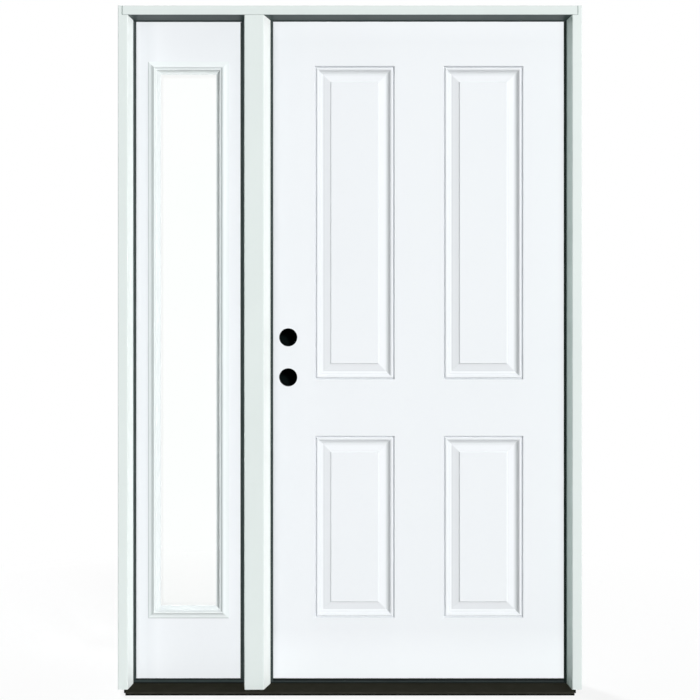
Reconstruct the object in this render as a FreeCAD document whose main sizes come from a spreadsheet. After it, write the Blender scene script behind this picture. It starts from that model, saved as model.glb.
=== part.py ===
import FreeCAD, Part
import math
import os
import re

import Sketcher
from FreeCAD import Placement, Rotation, Vector

# Entrance door unit with one sidelight, seen from outside: X to the right,
# Y inwards from the outer face of the jambs, Z up from the underside of the sill.
# The leaf hangs on butt hinges at the right and swings inwards.

# Driving sizes in millimetres; bulb_fullness is a ratio
sizes = {
    # frame
    "jamb_thickness": 35.0,
    "jamb_depth": 116.0,
    "jamb_rabbet": 16.7,
    "rabbet_depth": 12.7,
    "head_thickness": 28.0,
    "mullion_width": 79.0,
    "stop_splay": 6.0,
    "mullion_splay": 16.0,
    "eased_edge": 2.5,
    "head_tongue": 11.0,
    "kerf_offset": 3.8,
    "kerf_width": 3.0,
    "kerf_depth": 10.0,
    "kerf_play": 0.2,
    # seals between the stops and the panels
    "seal_space": 12.7,
    "seal_clearance": 5.0,
    "seal_reach": 8.0,
    "head_seal_reach": 3.0,
    "seal_setback": 2.0,
    "bulb_fullness": 0.98,
    # sill
    "nose_end_setback": 9.0,
    "sill_nose": 27.0,
    "toe_height": 3.0,
    "nose_height": 9.0,
    "nose_round": 3.0,
    "deck_height": 12.0,
    "deck_thickness": 2.0,
    "cap_height": 4.0,
    "cap_lip": 9.5,
    "cap_round": 1.5,
    # door leaf
    "leaf_width": 908.0,
    "leaf_height": 1985.0,
    "leaf_thickness": 44.5,
    "leaf_gap": 5.0,
    "skin_thickness": 9.4,
    "edge_stile": 30.0,
    "edge_rail": 40.0,
    "lock_block_width": 110.0,
    "lock_block_margin": 70.0,
    "sweep_height": 3.0,
    "sweep_clearance": 5.0,
    "sweep_inset": 3.0,
    "sweep_web": 1.2,
    "sweep_fin": 3.0,
    # raised panels pressed in the leaf's skins
    "panel_stile": 140.2,
    "panel_mid_stile": 147.0,
    "panel_top_rail": 141.5,
    "panel_lock_rail": 169.5,
    "panel_bottom_rail": 181.5,
    "lower_panel_height": 548.0,
    "quirk_width": 6.4,
    "quirk_depth": 7.0,
    "bead_width": 6.6,
    "bead_drop": 2.4,
    "bead_rise": 0.9,
    "cove_width": 8.0,
    "cove_sag": 1.0,
    "groove_width": 2.0,
    "panel_depth": 8.0,
    "bevel_width": 23.5,
    "field_step": 3.0,
    "field_edge": 3.2,
    # lock preparation
    "backset": 60.3,
    "lock_bore_diameter": 54.0,
    "latch_height": 906.0,
    "bolt_spacing": 120.5,
    "edge_bore_diameter": 25.4,
    "bore_cover_lap": 5.0,
    "bore_cover_thickness": 2.0,
    # hinges
    "hinge_height": 102.0,
    "hinge_plate_width": 32.0,
    "hinge_plate_thickness": 2.5,
    "hinge_top_setback": 178.0,
    "hinge_bottom_setback": 255.0,
    "knuckle_radius": 6.5,
    "knuckle_gap": 0.4,
    "knuckle_offset": 7.0,
    "pin_radius": 4.0,
    "pin_clearance": 0.1,
    "pin_head_radius": 5.5,
    "pin_head_height": 4.0,
    # sidelight panel
    "sidelight_width": 356.0,
    "sidelight_gap": 3.0,
    "lite_side_margin": 56.5,
    "lite_top_margin": 129.0,
    "lite_bottom_margin": 181.0,
    "lite_lap": 12.0,
    "lite_play": 1.5,
    "lite_lip": 2.0,
    "lite_slope_width": 19.0,
    "lite_slope_sag": 2.2,
    "lite_crest_height": 10.5,
    "lite_quirk_width": 3.0,
    "lite_quirk_depth": 1.5,
    "lite_crest_width": 4.5,
    "lite_crest_rise": 0.5,
    "lite_reveal_width": 11.5,
    "lite_reveal_sag": 2.0,
    "inner_reveal_width": 3.0,
    "lite_foot": 2.0,
    "glass_recess": 3.0,
    "glass_edge_gap": 3.0,
    "pane_thickness": 4.0,
    "glass_unit_thickness": 24.0,
    "spacer_width": 10.0,
}

# Sizes and places that follow from the driving ones
derived = {
    "jamb_net": "jamb_thickness - jamb_rabbet",
    "head_net": "head_thickness - rabbet_depth",
    "mullion_net": "mullion_width - 2 * rabbet_depth",
    "door_bay": "leaf_width + 2 * leaf_gap",
    "sidelight_bay": "sidelight_width + 2 * sidelight_gap",
    "frame_width": "2 * jamb_net + sidelight_bay + mullion_net + door_bay",
    "frame_left": "-frame_width / 2",
    "frame_right": "frame_width / 2",
    "sidelight_rabbet": "frame_left + jamb_net",
    "sidelight_left": "sidelight_rabbet + sidelight_gap",
    "mullion_left": "sidelight_rabbet + sidelight_bay",
    "mullion_middle": "mullion_left + mullion_net / 2",
    "mullion_right": "mullion_left + mullion_net",
    "leaf_left": "mullion_right + leaf_gap",
    "leaf_middle": "leaf_left + leaf_width / 2",
    "leaf_right": "leaf_left + leaf_width",
    "hinge_rabbet": "leaf_right + leaf_gap",
    "leaf_front": "jamb_depth - leaf_thickness",
    "stop_depth": "leaf_front - seal_space",
    "core_front": "leaf_front + skin_thickness",
    "core_thickness": "leaf_thickness - 2 * skin_thickness",
    "core_middle": "leaf_front + leaf_thickness / 2",
    "cap_front": "leaf_front - cap_lip",
    "cap_top": "deck_height + cap_height",
    "leaf_bottom": "cap_top + sweep_clearance + sweep_height",
    "leaf_top": "leaf_bottom + leaf_height",
    "head_rabbet": "leaf_top + leaf_gap",
    "frame_height": "head_rabbet + head_net",
    "head_underside": "frame_height - head_thickness",
    "deck_fall": "(deck_height - nose_height) / (sill_nose + cap_front)",
    "jamb_foot": "deck_height - deck_fall * cap_front",
    "sill_length": "frame_width - 2 * jamb_net",
    "door_seal": "seal_space - seal_clearance",
    "panel_width": "(leaf_width - panel_mid_stile) / 2 - panel_stile",
    "lower_panel_top": "panel_bottom_rail + lower_panel_height",
    "upper_panel_bottom": "lower_panel_top + panel_lock_rail",
    "upper_panel_top": "leaf_height - panel_top_rail",
    "bolt_height": "latch_height + bolt_spacing",
    "bore_x": "leaf_left + backset",
    "block_bottom": "latch_height - lock_block_margin",
    "block_height": "bolt_spacing + 2 * lock_block_margin",
    "pivot_x": "hinge_rabbet - leaf_gap / 2",
    "pivot_y": "jamb_depth + knuckle_offset",
    "plate_back": "jamb_depth - hinge_plate_width",
    "knuckle_height": "(hinge_height - 4 * knuckle_gap) / 5",
    "knuckle_pitch": "knuckle_height + knuckle_gap",
    "upper_hinge": "leaf_top - hinge_top_setback - hinge_height",
    "lower_hinge": "leaf_bottom + hinge_bottom_setback",
    "middle_hinge": "(upper_hinge + lower_hinge) / 2",
    "sidelight_middle": "sidelight_left + sidelight_width / 2",
    "lite_width": "sidelight_width - 2 * lite_side_margin",
    "lite_height": "leaf_height - lite_top_margin - lite_bottom_margin",
    "cutout_width": "lite_width - 2 * lite_lap",
    "cutout_height": "lite_height - 2 * lite_lap",
    "cutout_bottom": "lite_bottom_margin + lite_lap",
    "glass_width": "cutout_width - 2 * glass_edge_gap",
    "glass_height": "cutout_height - 2 * glass_edge_gap",
    "glass_bottom": "leaf_bottom + cutout_bottom + glass_edge_gap",
    "inner_recess": "leaf_thickness - glass_unit_thickness - glass_recess",
    "glass_front": "leaf_front + glass_recess",
    "spacer_depth": "glass_unit_thickness - 2 * pane_thickness",
}

# Lower edge of each hinge, and height above the leaf's bottom of each bore
hinges = {"upper": "upper_hinge", "middle": "middle_hinge", "lower": "lower_hinge"}
bores = {"latch": "latch_height", "bolt": "bolt_height"}

# A section that is turned over has its arcs on the other side
opposite = {"left": "right", "right": "left"}

doc = FreeCAD.newDocument("door_with_sidelight")
sheet = doc.addObject("Spreadsheet::Sheet", "dims")
for row, (alias, number) in enumerate(sizes.items(), start=1):
    sheet.set(f"A{row}", alias)
    sheet.set(f"B{row}", str(number))
    sheet.setAlias(f"B{row}", alias)
doc.recompute()

nodes = []


def formula(text):
    """Write out derived names until only the sheet's cells are left."""
    def replace(match):
        name = match.group()
        if name in derived:
            return f"({formula(derived[name])})"
        return f"dims.{name}" if name in sizes else name
    return re.sub(r"[a-z][a-z_]*", replace, text)


def value(text):
    return float(sheet.evalExpression(formula(text)))


def bind(item, prop, text):
    item.setExpression(prop, formula(text))


def place(item, x="0", y="0", z="0"):
    bind(item, "Placement.Base.x", x)
    bind(item, "Placement.Base.y", y)
    bind(item, "Placement.Base.z", z)


def node(item, label):
    """Mark a finished piece, which is written to its own file."""
    item.Label = label
    nodes.append(item)
    return item


# Part primitives and booleans

def box(name, corner, lengths):
    item = doc.addObject("Part::Box", name)
    for prop, text in zip(("Length", "Width", "Height"), lengths):
        bind(item, prop, text)
    place(item, *corner)
    return item


def cylinder(name, base, axis, radius, length):
    item = doc.addObject("Part::Cylinder", name)
    item.Placement = Placement(Vector(), Rotation(Vector(0, 0, 1), axis))
    bind(item, "Radius", radius)
    bind(item, "Height", length)
    place(item, *base)
    return item


def cut(name, base, tools):
    tool = tools[0]
    if len(tools) > 1:
        tool = doc.addObject("Part::MultiFuse", f"{name}_tools")
        tool.Shapes = tools
    item = doc.addObject("Part::Cut", name)
    item.Base = base
    item.Tool = tool
    return item


def fuse(name, pieces):
    item = doc.addObject("Part::MultiFuse", name)
    item.Shapes = pieces
    return item


# Sketched bodies

def arc_between(start, end, radius, side):
    """A short arc that bulges to the given side, and whether it runs from end to start."""
    chord = end - start
    left = Vector(-chord.y, chord.x, 0).normalize()
    reach = math.sqrt(max(radius ** 2 - (chord.Length / 2) ** 2, 0))
    centre = (start + end) / 2 + left * (reach if side == "right" else -reach)
    first, last = (start, end) if side == "right" else (end, start)
    angles = [math.atan2(p.y - centre.y, p.x - centre.x) for p in (first, last)]
    if angles[1] < angles[0]:
        angles[1] += 2 * math.pi
    circle = Part.Circle(centre, Vector(0, 0, 1), radius)
    return Part.ArcOfCircle(circle, *angles), side == "left"


def draw_loop(sketch, corners, bulges=None):
    """A closed loop through corners given as formulas; an edge with a bulge is an arc."""
    bulges = bulges or {}
    first = sketch.GeometryCount
    count = len(corners)
    points = [Vector(value(x), value(y), 0) for x, y in corners]
    ends = []
    for i in range(count):
        j = (i + 1) % count
        if i in bulges:
            side, rise = bulges[i]
            width = f"({corners[j][0]} - ({corners[i][0]}))"
            height = f"({corners[j][1]} - ({corners[i][1]}))"
            radius = f"({width} ^ 2 + {height} ^ 2) / (8 * ({rise})) + ({rise}) / 2"
            edge, swapped = arc_between(points[i], points[j], value(radius), side)
            index = sketch.addGeometry(edge)
            tie(sketch, Sketcher.Constraint("Radius", index, value(radius)), radius)
        else:
            swapped = False
            sketch.addGeometry(Part.LineSegment(points[i], points[j]))
        ends.append((2, 1) if swapped else (1, 2))
    for i in range(count):
        j = (i + 1) % count
        sketch.addConstraint(Sketcher.Constraint("Coincident", first + i, ends[i][1], first + j, ends[j][0]))
    for i, (x, y) in enumerate(corners):
        for kind, text in (("DistanceX", x), ("DistanceY", y)):
            tie(sketch, Sketcher.Constraint(kind, -1, 1, first + i, ends[i][0], value(text)), text)


def tie(sketch, constraint, text):
    index = sketch.addConstraint(constraint)
    bind(sketch, f"Constraints[{index}]", text)


def rectangle(x0, y0, x1, y1):
    return [(x0, y0), (x1, y0), (x1, y1), (x0, y1)]


def new_body(label):
    return node(doc.addObject("PartDesign::Body", label), label)


def new_sketch(body, name, plane, loops, offset=None):
    """A sketch on one of the body's own origin planes; each loop is corners or (corners, bulges)."""
    sketch = body.newObject("Sketcher::SketchObject", f"{body.Label}_{name}")
    planes = {feature.Role: feature for feature in body.Origin.OriginFeatures}
    sketch.AttachmentSupport = (planes[plane], [""])
    sketch.MapMode = "FlatFace"
    if offset:
        bind(sketch, "AttachmentOffset.Base.z", offset)
    for loop in loops:
        corners, bulges = loop if isinstance(loop, tuple) else (loop, None)
        draw_loop(sketch, corners, bulges)
    return sketch


def pad(body, sketch, length, reverse=False, both_sides=False):
    feature = body.newObject("PartDesign::Pad", f"{sketch.Label}_pad")
    feature.Profile = sketch
    feature.SideType = "Symmetric" if both_sides else "One side"
    feature.Reversed = reverse
    bind(feature, "Length", length)
    doc.recompute()
    return feature


def pocket(body, sketch, length, reverse=False, both_sides=False):
    before = body.Shape.Volume
    feature = body.newObject("PartDesign::Pocket", f"{sketch.Label}_pocket")
    feature.Profile = sketch
    feature.SideType = "Symmetric" if both_sides else "One side"
    feature.Reversed = reverse
    bind(feature, "Length", length)
    doc.recompute()
    if not body.Shape.Volume < before:
        raise RuntimeError(f"{feature.Label} cuts nothing")
    return feature


def round_edges(body, feature, radius, wanted):
    """Round the edges of a feature whose two ends satisfy a test."""
    names = []
    for number, edge in enumerate(feature.Shape.Edges, start=1):
        points = [vertex.Point for vertex in edge.Vertexes]
        if len(points) == 2 and wanted(*points):
            names.append(f"Edge{number}")
    fillet = body.newObject("PartDesign::Fillet", f"{feature.Label}_round")
    fillet.Base = (feature, names)
    bind(fillet, "Radius", radius)
    doc.recompute()
    return fillet


def near(first, second):
    return abs(first - second) < 1e-6


# Frame: two jambs, a mullion and a head, each with a stop and a seal kerf;
# the upright stops are splayed, wider at the back than at the front

def shoulder(side, net, rabbet):
    """The back of a stop with its kerf, from the stop's edge to the rabbet face."""
    edge = f"{net} + {rabbet}"
    outer = f"{net} + kerf_offset"
    inner = f"{net} + kerf_offset + kerf_width"
    across = [edge, inner, inner, outer, outer, net]
    along = ["stop_depth"] * 2 + ["stop_depth - kerf_depth"] * 2 + ["stop_depth"] * 2
    return [(f"{side} * ({x})", y) for x, y in zip(across, along)]


def foot_profile():
    """The space that the sill takes under a jamb: the sloped deck, then the flat under the cap."""
    return [("0", "0"), ("0", "jamb_foot"), ("cap_front", "deck_height"),
            ("jamb_depth", "deck_height"), ("jamb_depth", "0")]


def ease_front(body, feature):
    def front(start, end):
        return near(start.y, 0) and near(end.y, 0) and near(start.x, end.x)
    return round_edges(body, feature, "eased_edge", front)


def side_jamb(label, side, outer_face):
    body = new_body(label)
    plan = [("0", "0"), (f"{side} * (jamb_thickness - stop_splay)", "0")]
    plan += shoulder(side, "jamb_net", "jamb_rabbet")
    plan += [(f"{side} * jamb_net", "jamb_depth"), ("0", "jamb_depth")]
    post = pad(body, new_sketch(body, "plan", "XY_Plane", [plan]), "frame_height")
    ease_front(body, post)
    foot = new_sketch(body, "foot", "YZ_Plane", [foot_profile()])
    pocket(body, foot, "2 * jamb_thickness", both_sides=True)
    seat = [("0", "head_underside"), ("stop_depth", "head_underside"), ("stop_depth", "head_rabbet"),
            ("jamb_depth", "head_rabbet"), ("jamb_depth", "frame_height"), ("0", "frame_height")]
    notch = new_sketch(body, "head_seat", "YZ_Plane", [seat], f"{side} * head_tongue")
    pocket(body, notch, "jamb_thickness", reverse=side > 0)
    place(body, outer_face)
    return body


def mullion_post():
    body = new_body("mullion_post")
    plan = [("mullion_width / 2 - mullion_splay", "0")]
    plan += shoulder(1, "mullion_net / 2", "rabbet_depth")
    plan += [("mullion_net / 2", "jamb_depth"), ("-mullion_net / 2", "jamb_depth")]
    plan += list(reversed(shoulder(-1, "mullion_net / 2", "rabbet_depth")))
    plan += [("stop_splay - mullion_width / 2", "0")]
    post = pad(body, new_sketch(body, "plan", "XY_Plane", [plan]), "head_rabbet")
    ease_front(body, post)
    foot = new_sketch(body, "foot", "YZ_Plane", [foot_profile()])
    pocket(body, foot, "2 * mullion_width", both_sides=True)
    top = new_sketch(body, "top", "YZ_Plane", [rectangle("0", "head_underside", "stop_depth", "head_rabbet")])
    pocket(body, top, "2 * mullion_width", both_sides=True)
    place(body, "mullion_middle")
    return body


def head_jamb():
    body = new_body("head_jamb")
    section = [("0", "frame_height"), ("0", "head_underside"), ("stop_depth", "head_underside"),
               ("stop_depth", "head_rabbet - kerf_offset - kerf_width"),
               ("stop_depth - kerf_depth", "head_rabbet - kerf_offset - kerf_width"),
               ("stop_depth - kerf_depth", "head_rabbet - kerf_offset"),
               ("stop_depth", "head_rabbet - kerf_offset"),
               ("stop_depth", "head_rabbet"), ("jamb_depth", "head_rabbet"), ("jamb_depth", "frame_height")]
    sketch = new_sketch(body, "section", "YZ_Plane", [section])
    beam = pad(body, sketch, "frame_width - 2 * head_tongue", both_sides=True)

    def front(start, end):
        return near(start.y, 0) and near(end.y, 0)
    round_edges(body, beam, "eased_edge", front)


def hinge_mortises(body):
    """Shallow seats for the three hinge plates in the face of the hinge jamb's rabbet."""
    seats = [rectangle("plate_back", low, "jamb_depth", f"{low} + hinge_height") for low in hinges.values()]
    sketch = new_sketch(body, "hinge_seats", "YZ_Plane", seats, "-jamb_net")
    pocket(body, sketch, "hinge_plate_thickness", reverse=True)


side_jamb("left_jamb", 1, "frame_left")
hinge_jamb = side_jamb("hinge_jamb", -1, "frame_right")
hinge_mortises(hinge_jamb)
mullion_post()
head_jamb()


# Sill: a base under a sloped deck, with a cap under the leaf and a higher one under the sidelight

def trim_nose(body):
    """Cut the nose back at both ends, in front of the jambs."""
    end = "sill_length / 2"
    corners = [rectangle(f"{side} * ({end} - nose_end_setback)", "-sill_nose", f"{side} * {end}", "0")
               for side in (-1, 1)]
    pocket(body, new_sketch(body, "nose_ends", "XY_Plane", corners), "deck_height", reverse=True)


def sill_base():
    body = new_body("sill_base")
    top = "deck_height - deck_thickness"
    front = "deck_thickness - sill_nose"
    section = [(front, "0"), (front, "nose_height - deck_thickness"), ("cap_front", top),
               ("jamb_depth", top), ("jamb_depth", "0")]
    pad(body, new_sketch(body, "section", "YZ_Plane", [section]), "sill_length", both_sides=True)
    trim_nose(body)


def sill_deck():
    body = new_body("sill_deck")
    top = "deck_height - deck_thickness"
    front = "deck_thickness - sill_nose"
    section = [("-sill_nose", "toe_height"), ("-sill_nose", "nose_height"), ("cap_front", "deck_height"),
               ("jamb_depth", "deck_height"), ("jamb_depth", top), ("cap_front", top),
               (front, "nose_height - deck_thickness"), (front, "toe_height")]
    deck = pad(body, new_sketch(body, "section", "YZ_Plane", [section]), "sill_length", both_sides=True)

    def nose(start, end):
        height = value("nose_height")
        return near(start.y, end.y) and near(start.y, -value("sill_nose")) and near(start.z, height)
    round_edges(body, deck, "nose_round", nose)
    trim_nose(body)


def threshold_cap(label, left, right, top):
    body = new_body(label)
    section = rectangle("cap_front", "deck_height", "jamb_depth", top)
    cap = pad(body, new_sketch(body, "section", "YZ_Plane", [section]), f"{right} - {left}")

    def front_edge(start, end):
        return near(start.y, value("cap_front")) and near(start.z, value(top)) and near(start.z, end.z)
    round_edges(body, cap, "cap_round", front_edge)
    place(body, left)


sill_base()
sill_deck()
threshold_cap("door_threshold_cap", "mullion_right", "hinge_rabbet", "cap_top")
threshold_cap("sidelight_threshold_cap", "sidelight_rabbet", "mullion_left", "leaf_bottom")


# Seals pushed into the kerfs

def seal_section(rabbet, reach, thickness):
    """Across the rabbet from its face, and out from the stop's back: a fin and a round-nosed bulb."""
    tip = f"{rabbet} + {reach} - {thickness} / 2"
    corners = [("kerf_offset + kerf_play", "0"), ("kerf_offset + kerf_play", "kerf_play - kerf_depth"),
               ("kerf_offset + kerf_width - kerf_play", "kerf_play - kerf_depth"),
               ("kerf_offset + kerf_width - kerf_play", "0"),
               (tip, "0"), (tip, thickness), ("seal_setback", thickness), ("seal_setback", "0")]
    return corners, {4: ("right", f"bulb_fullness * {thickness} / 2")}


def jamb_seal(label, side, face, rabbet, thickness, bottom):
    body = new_body(label)
    corners, bulges = seal_section(rabbet, "seal_reach", thickness)
    if side < 0:
        corners = [(f"-({x})", y) for x, y in corners]
        bulges = {index: (opposite[bulge], rise) for index, (bulge, rise) in bulges.items()}
    length = f"head_underside - head_seal_reach - ({bottom})"
    pad(body, new_sketch(body, "section", "XY_Plane", [(corners, bulges)]), length)
    place(body, face, "stop_depth", bottom)


def head_seal(label, left, right, thickness):
    body = new_body(label)
    corners, bulges = seal_section("rabbet_depth", "head_seal_reach", thickness)
    turned = [(y, f"-({x})") for x, y in corners]
    sketch = new_sketch(body, "section", "YZ_Plane", [(turned, bulges)])
    pad(body, sketch, f"{right} - {left}")
    place(body, left, "stop_depth", "head_rabbet")


jamb_seal("latch_side_seal", 1, "mullion_right", "rabbet_depth", "door_seal", "cap_top")
jamb_seal("hinge_side_seal", -1, "hinge_rabbet", "jamb_rabbet", "door_seal", "cap_top")
head_seal("door_head_seal", "mullion_right", "hinge_rabbet", "door_seal")
jamb_seal("sidelight_left_gasket", 1, "sidelight_rabbet", "jamb_rabbet", "seal_space", "leaf_bottom")
jamb_seal("sidelight_right_gasket", -1, "mullion_left", "rabbet_depth", "seal_space", "leaf_bottom")
head_seal("sidelight_head_gasket", "sidelight_rabbet", "mullion_left", "seal_space")


# Door leaf: two pressed skins on a timber edge frame with a lock block, and foam between

def moulding_section():
    """The pressed moulding round a panel, inwards from its outer line and down from the face."""
    bead = "quirk_width"
    cove = "quirk_width + bead_width"
    groove = f"{cove} + cove_width"
    bevel = f"{groove} + groove_width"
    field = f"{bevel} + bevel_width"
    corners = [("0", "-field_edge"), ("0", "0"), ("quirk_width / 2", "quirk_depth"), (bead, "bead_rise"),
               (cove, "bead_drop"), (groove, "panel_depth"), (bevel, "panel_depth"),
               (field, "field_step"), (f"{field} + field_edge", "0"),
               (f"{field} + field_edge", "-field_edge")]
    return corners, {3: ("right", "bead_rise"), 4: ("left", "cove_sag")}


def press_panel(body, name, low, high):
    """Sweep the moulding round one panel at the left of the skin, with mitred corners."""
    left = "panel_stile - leaf_width / 2"
    right = f"{left} + panel_width"
    path = new_sketch(body, f"{name}_path", "XZ_Plane", [rectangle(left, low, right, high)])
    corners, bulges = moulding_section()
    across = [(f"{left} + {x}", y) for x, y in corners]
    section = new_sketch(body, f"{name}_section", "XY_Plane", [(across, bulges)], f"({low} + {high}) / 2")
    doc.recompute()
    before = body.Shape.Volume
    feature = body.newObject("PartDesign::SubtractivePipe", f"{body.Label}_{name}")
    feature.Profile = section
    feature.Spine = (path, [f"Edge{number}" for number in range(1, 5)])
    feature.Transition = "Right corner"
    doc.recompute()
    if not body.Shape.Volume < before:
        raise RuntimeError(f"{feature.Label} presses nothing")
    return feature


def leaf_skin(label, bore_side):
    """A skin standing on the leaf's bottom line with its pressed face at y = 0, facing -Y."""
    body = new_body(label)
    plate = rectangle("-leaf_width / 2", "0", "leaf_width / 2", "leaf_height")
    pad(body, new_sketch(body, "plate", "XZ_Plane", [plate]), "skin_thickness", reverse=True)
    upper = press_panel(body, "upper_panel", "upper_panel_bottom", "upper_panel_top")
    lower = press_panel(body, "lower_panel", "panel_bottom_rail", "lower_panel_top")
    pair = body.newObject("PartDesign::Mirrored", f"{label}_right_panels")
    pair.Originals = [upper, lower]
    planes = {feature.Role: feature for feature in body.Origin.OriginFeatures}
    pair.MirrorPlane = (planes["YZ_Plane"], [""])
    body.Tip = pair
    doc.recompute()
    for name, height in bores.items():
        drill = body.newObject("PartDesign::SubtractiveCylinder", f"{label}_{name}_bore")
        drill.AttachmentSupport = (planes["XZ_Plane"], [""])
        drill.MapMode = "FlatFace"
        bind(drill, "Radius", "lock_bore_diameter / 2")
        bind(drill, "Height", "skin_thickness")
        bind(drill, "AttachmentOffset.Base.x", f"{bore_side} * (leaf_width / 2 - backset)")
        bind(drill, "AttachmentOffset.Base.y", height)
        bind(drill, "AttachmentOffset.Base.z", "-skin_thickness")
    doc.recompute()
    return body


def edge_drills(name):
    """The latch and bolt bores drilled from the leaf's lock edge to its through bores."""
    return [cylinder(f"{name}_{kind}_drill", ("leaf_left", "core_middle", f"leaf_bottom + {height}"),
                     Vector(1, 0, 0), "edge_bore_diameter / 2", "backset")
            for kind, height in bores.items()]


def leaf_core():
    inner_width = "leaf_width - 2 * edge_stile"
    inner_height = "leaf_height - 2 * edge_rail"
    stile_size = ("edge_stile", "core_thickness", "leaf_height")
    rail_size = (inner_width, "core_thickness", "edge_rail")
    inner_left = "leaf_left + edge_stile"
    hinge_left = "leaf_right - edge_stile"

    lock_stile = box("lock_stile_blank", ("leaf_left", "core_front", "leaf_bottom"), stile_size)
    node(cut("lock_stile_drilled", lock_stile, edge_drills("lock_stile")), "leaf_lock_stile")

    hinge_stile = box("hinge_stile_blank", (hinge_left, "core_front", "leaf_bottom"), stile_size)
    seats = [box(f"{name}_stile_seat", ("leaf_right - hinge_plate_thickness", "plate_back", low),
                 ("hinge_plate_thickness", "hinge_plate_width", "hinge_height"))
             for name, low in hinges.items()]
    node(cut("hinge_stile_seated", hinge_stile, seats), "leaf_hinge_stile")

    node(box("top_rail", (inner_left, "core_front", "leaf_top - edge_rail"), rail_size), "leaf_top_rail")
    node(box("bottom_rail", (inner_left, "core_front", "leaf_bottom"), rail_size), "leaf_bottom_rail")

    block_corner = (inner_left, "core_front", "leaf_bottom + block_bottom")
    block_size = ("lock_block_width", "core_thickness", "block_height")
    through = [cylinder(f"{kind}_block_bore", ("bore_x", "core_front", f"leaf_bottom + {height}"),
                        Vector(0, 1, 0), "lock_bore_diameter / 2", "core_thickness")
               for kind, height in bores.items()]
    block = cut("lock_block_drilled", box("lock_block_blank", block_corner, block_size),
                through + edge_drills("lock_block"))
    node(block, "leaf_lock_block")

    foam = box("foam_blank", (inner_left, "core_front", "leaf_bottom + edge_rail"),
               (inner_width, "core_thickness", inner_height))
    node(cut("foam_core", foam, [box("foam_block_space", block_corner, block_size)]), "leaf_foam_core")


def door_sweep():
    """A strip under the leaf with three fins that hang towards the threshold cap."""
    body = new_body("door_sweep")
    width = "(leaf_thickness - 2 * sweep_inset)"
    web = "sweep_height - sweep_web"
    section = [("0", "sweep_height"), ("0", "0"), ("sweep_fin", "0"), ("sweep_fin", web),
               (f"{width} / 2 - sweep_fin / 2", web), (f"{width} / 2 - sweep_fin / 2", "0"),
               (f"{width} / 2 + sweep_fin / 2", "0"), (f"{width} / 2 + sweep_fin / 2", web),
               (f"{width} - sweep_fin", web), (f"{width} - sweep_fin", "0"), (width, "0"),
               (width, "sweep_height")]
    pad(body, new_sketch(body, "section", "YZ_Plane", [section]), "leaf_width - 2 * sweep_inset")
    place(body, "leaf_left + sweep_inset", "leaf_front + sweep_inset", "leaf_bottom - sweep_height")


def bore_covers():
    discs = [cylinder(f"{kind}_cover", ("bore_x", "jamb_depth", f"leaf_bottom + {height}"),
                      Vector(0, 1, 0), "lock_bore_diameter / 2 + bore_cover_lap", "bore_cover_thickness")
             for kind, height in bores.items()]
    node(fuse("cover_pair", discs), "bore_covers")


exterior_skin = leaf_skin("leaf_exterior_skin", -1)
place(exterior_skin, "leaf_middle", "leaf_front", "leaf_bottom")

interior_skin = leaf_skin("leaf_interior_skin", 1)
edge_seats = [rectangle("-leaf_width / 2", f"{low} - leaf_bottom", "hinge_plate_thickness - leaf_width / 2",
                        f"{low} - leaf_bottom + hinge_height") for name, low in hinges.items()]
pocket(interior_skin, new_sketch(interior_skin, "hinge_seats", "XZ_Plane", edge_seats), "skin_thickness")
interior_skin.Placement = Placement(Vector(), Rotation(Vector(0, 0, 1), 180))
place(interior_skin, "leaf_middle", "jamb_depth", "leaf_bottom")

leaf_core()
door_sweep()
bore_covers()


# Butt hinges: five knuckles round a pin, three on the frame's plate and two on the leaf's

def hinge_plate(name, low, plate_x, tab_x, knuckles):
    plate = box(f"{name}_plate", (plate_x, "plate_back", low),
                ("hinge_plate_thickness", "hinge_plate_width", "hinge_height"))
    pieces = [plate]
    for knuckle in knuckles:
        z = f"{low} + {knuckle} * knuckle_pitch"
        pieces.append(box(f"{name}_tab_{knuckle}", (tab_x, "jamb_depth", z),
                          ("hinge_plate_thickness", "knuckle_offset", "knuckle_height")))
        pieces.append(cylinder(f"{name}_knuckle_{knuckle}", ("pivot_x", "pivot_y", z),
                               Vector(0, 0, 1), "knuckle_radius", "knuckle_height"))
    pin_hole = cylinder(f"{name}_pin_hole", ("pivot_x", "pivot_y", low), Vector(0, 0, 1),
                        "pin_radius + pin_clearance", "hinge_height")
    return cut(f"{name}_bored", fuse(f"{name}_blank", pieces), [pin_hole])


def hinge_pin(name, low):
    shank = cylinder(f"{name}_shank", ("pivot_x", "pivot_y", low), Vector(0, 0, 1),
                     "pin_radius", "hinge_height")
    top = cylinder(f"{name}_top", ("pivot_x", "pivot_y", f"{low} + hinge_height"), Vector(0, 0, 1),
                   "pin_head_radius", "pin_head_height")
    tip = cylinder(f"{name}_tip", ("pivot_x", "pivot_y", f"{low} - pin_head_height"), Vector(0, 0, 1),
                   "pin_head_radius", "pin_head_height")
    return fuse(f"{name}_whole", [shank, top, tip])


for position, low_edge in hinges.items():
    frame_plate = hinge_plate(f"{position}_frame", low_edge, "hinge_rabbet", "hinge_rabbet", (0, 2, 4))
    node(frame_plate, f"{position}_hinge_frame_plate")
    leaf_plate_x = "leaf_right - hinge_plate_thickness"
    leaf_plate = hinge_plate(f"{position}_leaf", low_edge, leaf_plate_x, leaf_plate_x, (1, 3))
    node(leaf_plate, f"{position}_hinge_leaf_plate")
    node(hinge_pin(f"{position}_pin", low_edge), f"{position}_hinge_pin")


# Sidelight: skins on a timber frame with a tall cut-out, a glass unit and two lite frames

def sidelight_skin(label, front):
    body = new_body(label)
    plate = rectangle("-sidelight_width / 2", "0", "sidelight_width / 2", "leaf_height")
    hole = rectangle("-cutout_width / 2", "cutout_bottom",
                     "cutout_width / 2", "cutout_bottom + cutout_height")
    sketch = new_sketch(body, "plate", "XZ_Plane", [plate, hole])
    pad(body, sketch, "skin_thickness", reverse=True)
    place(body, "sidelight_middle", front, "leaf_bottom")


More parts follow.
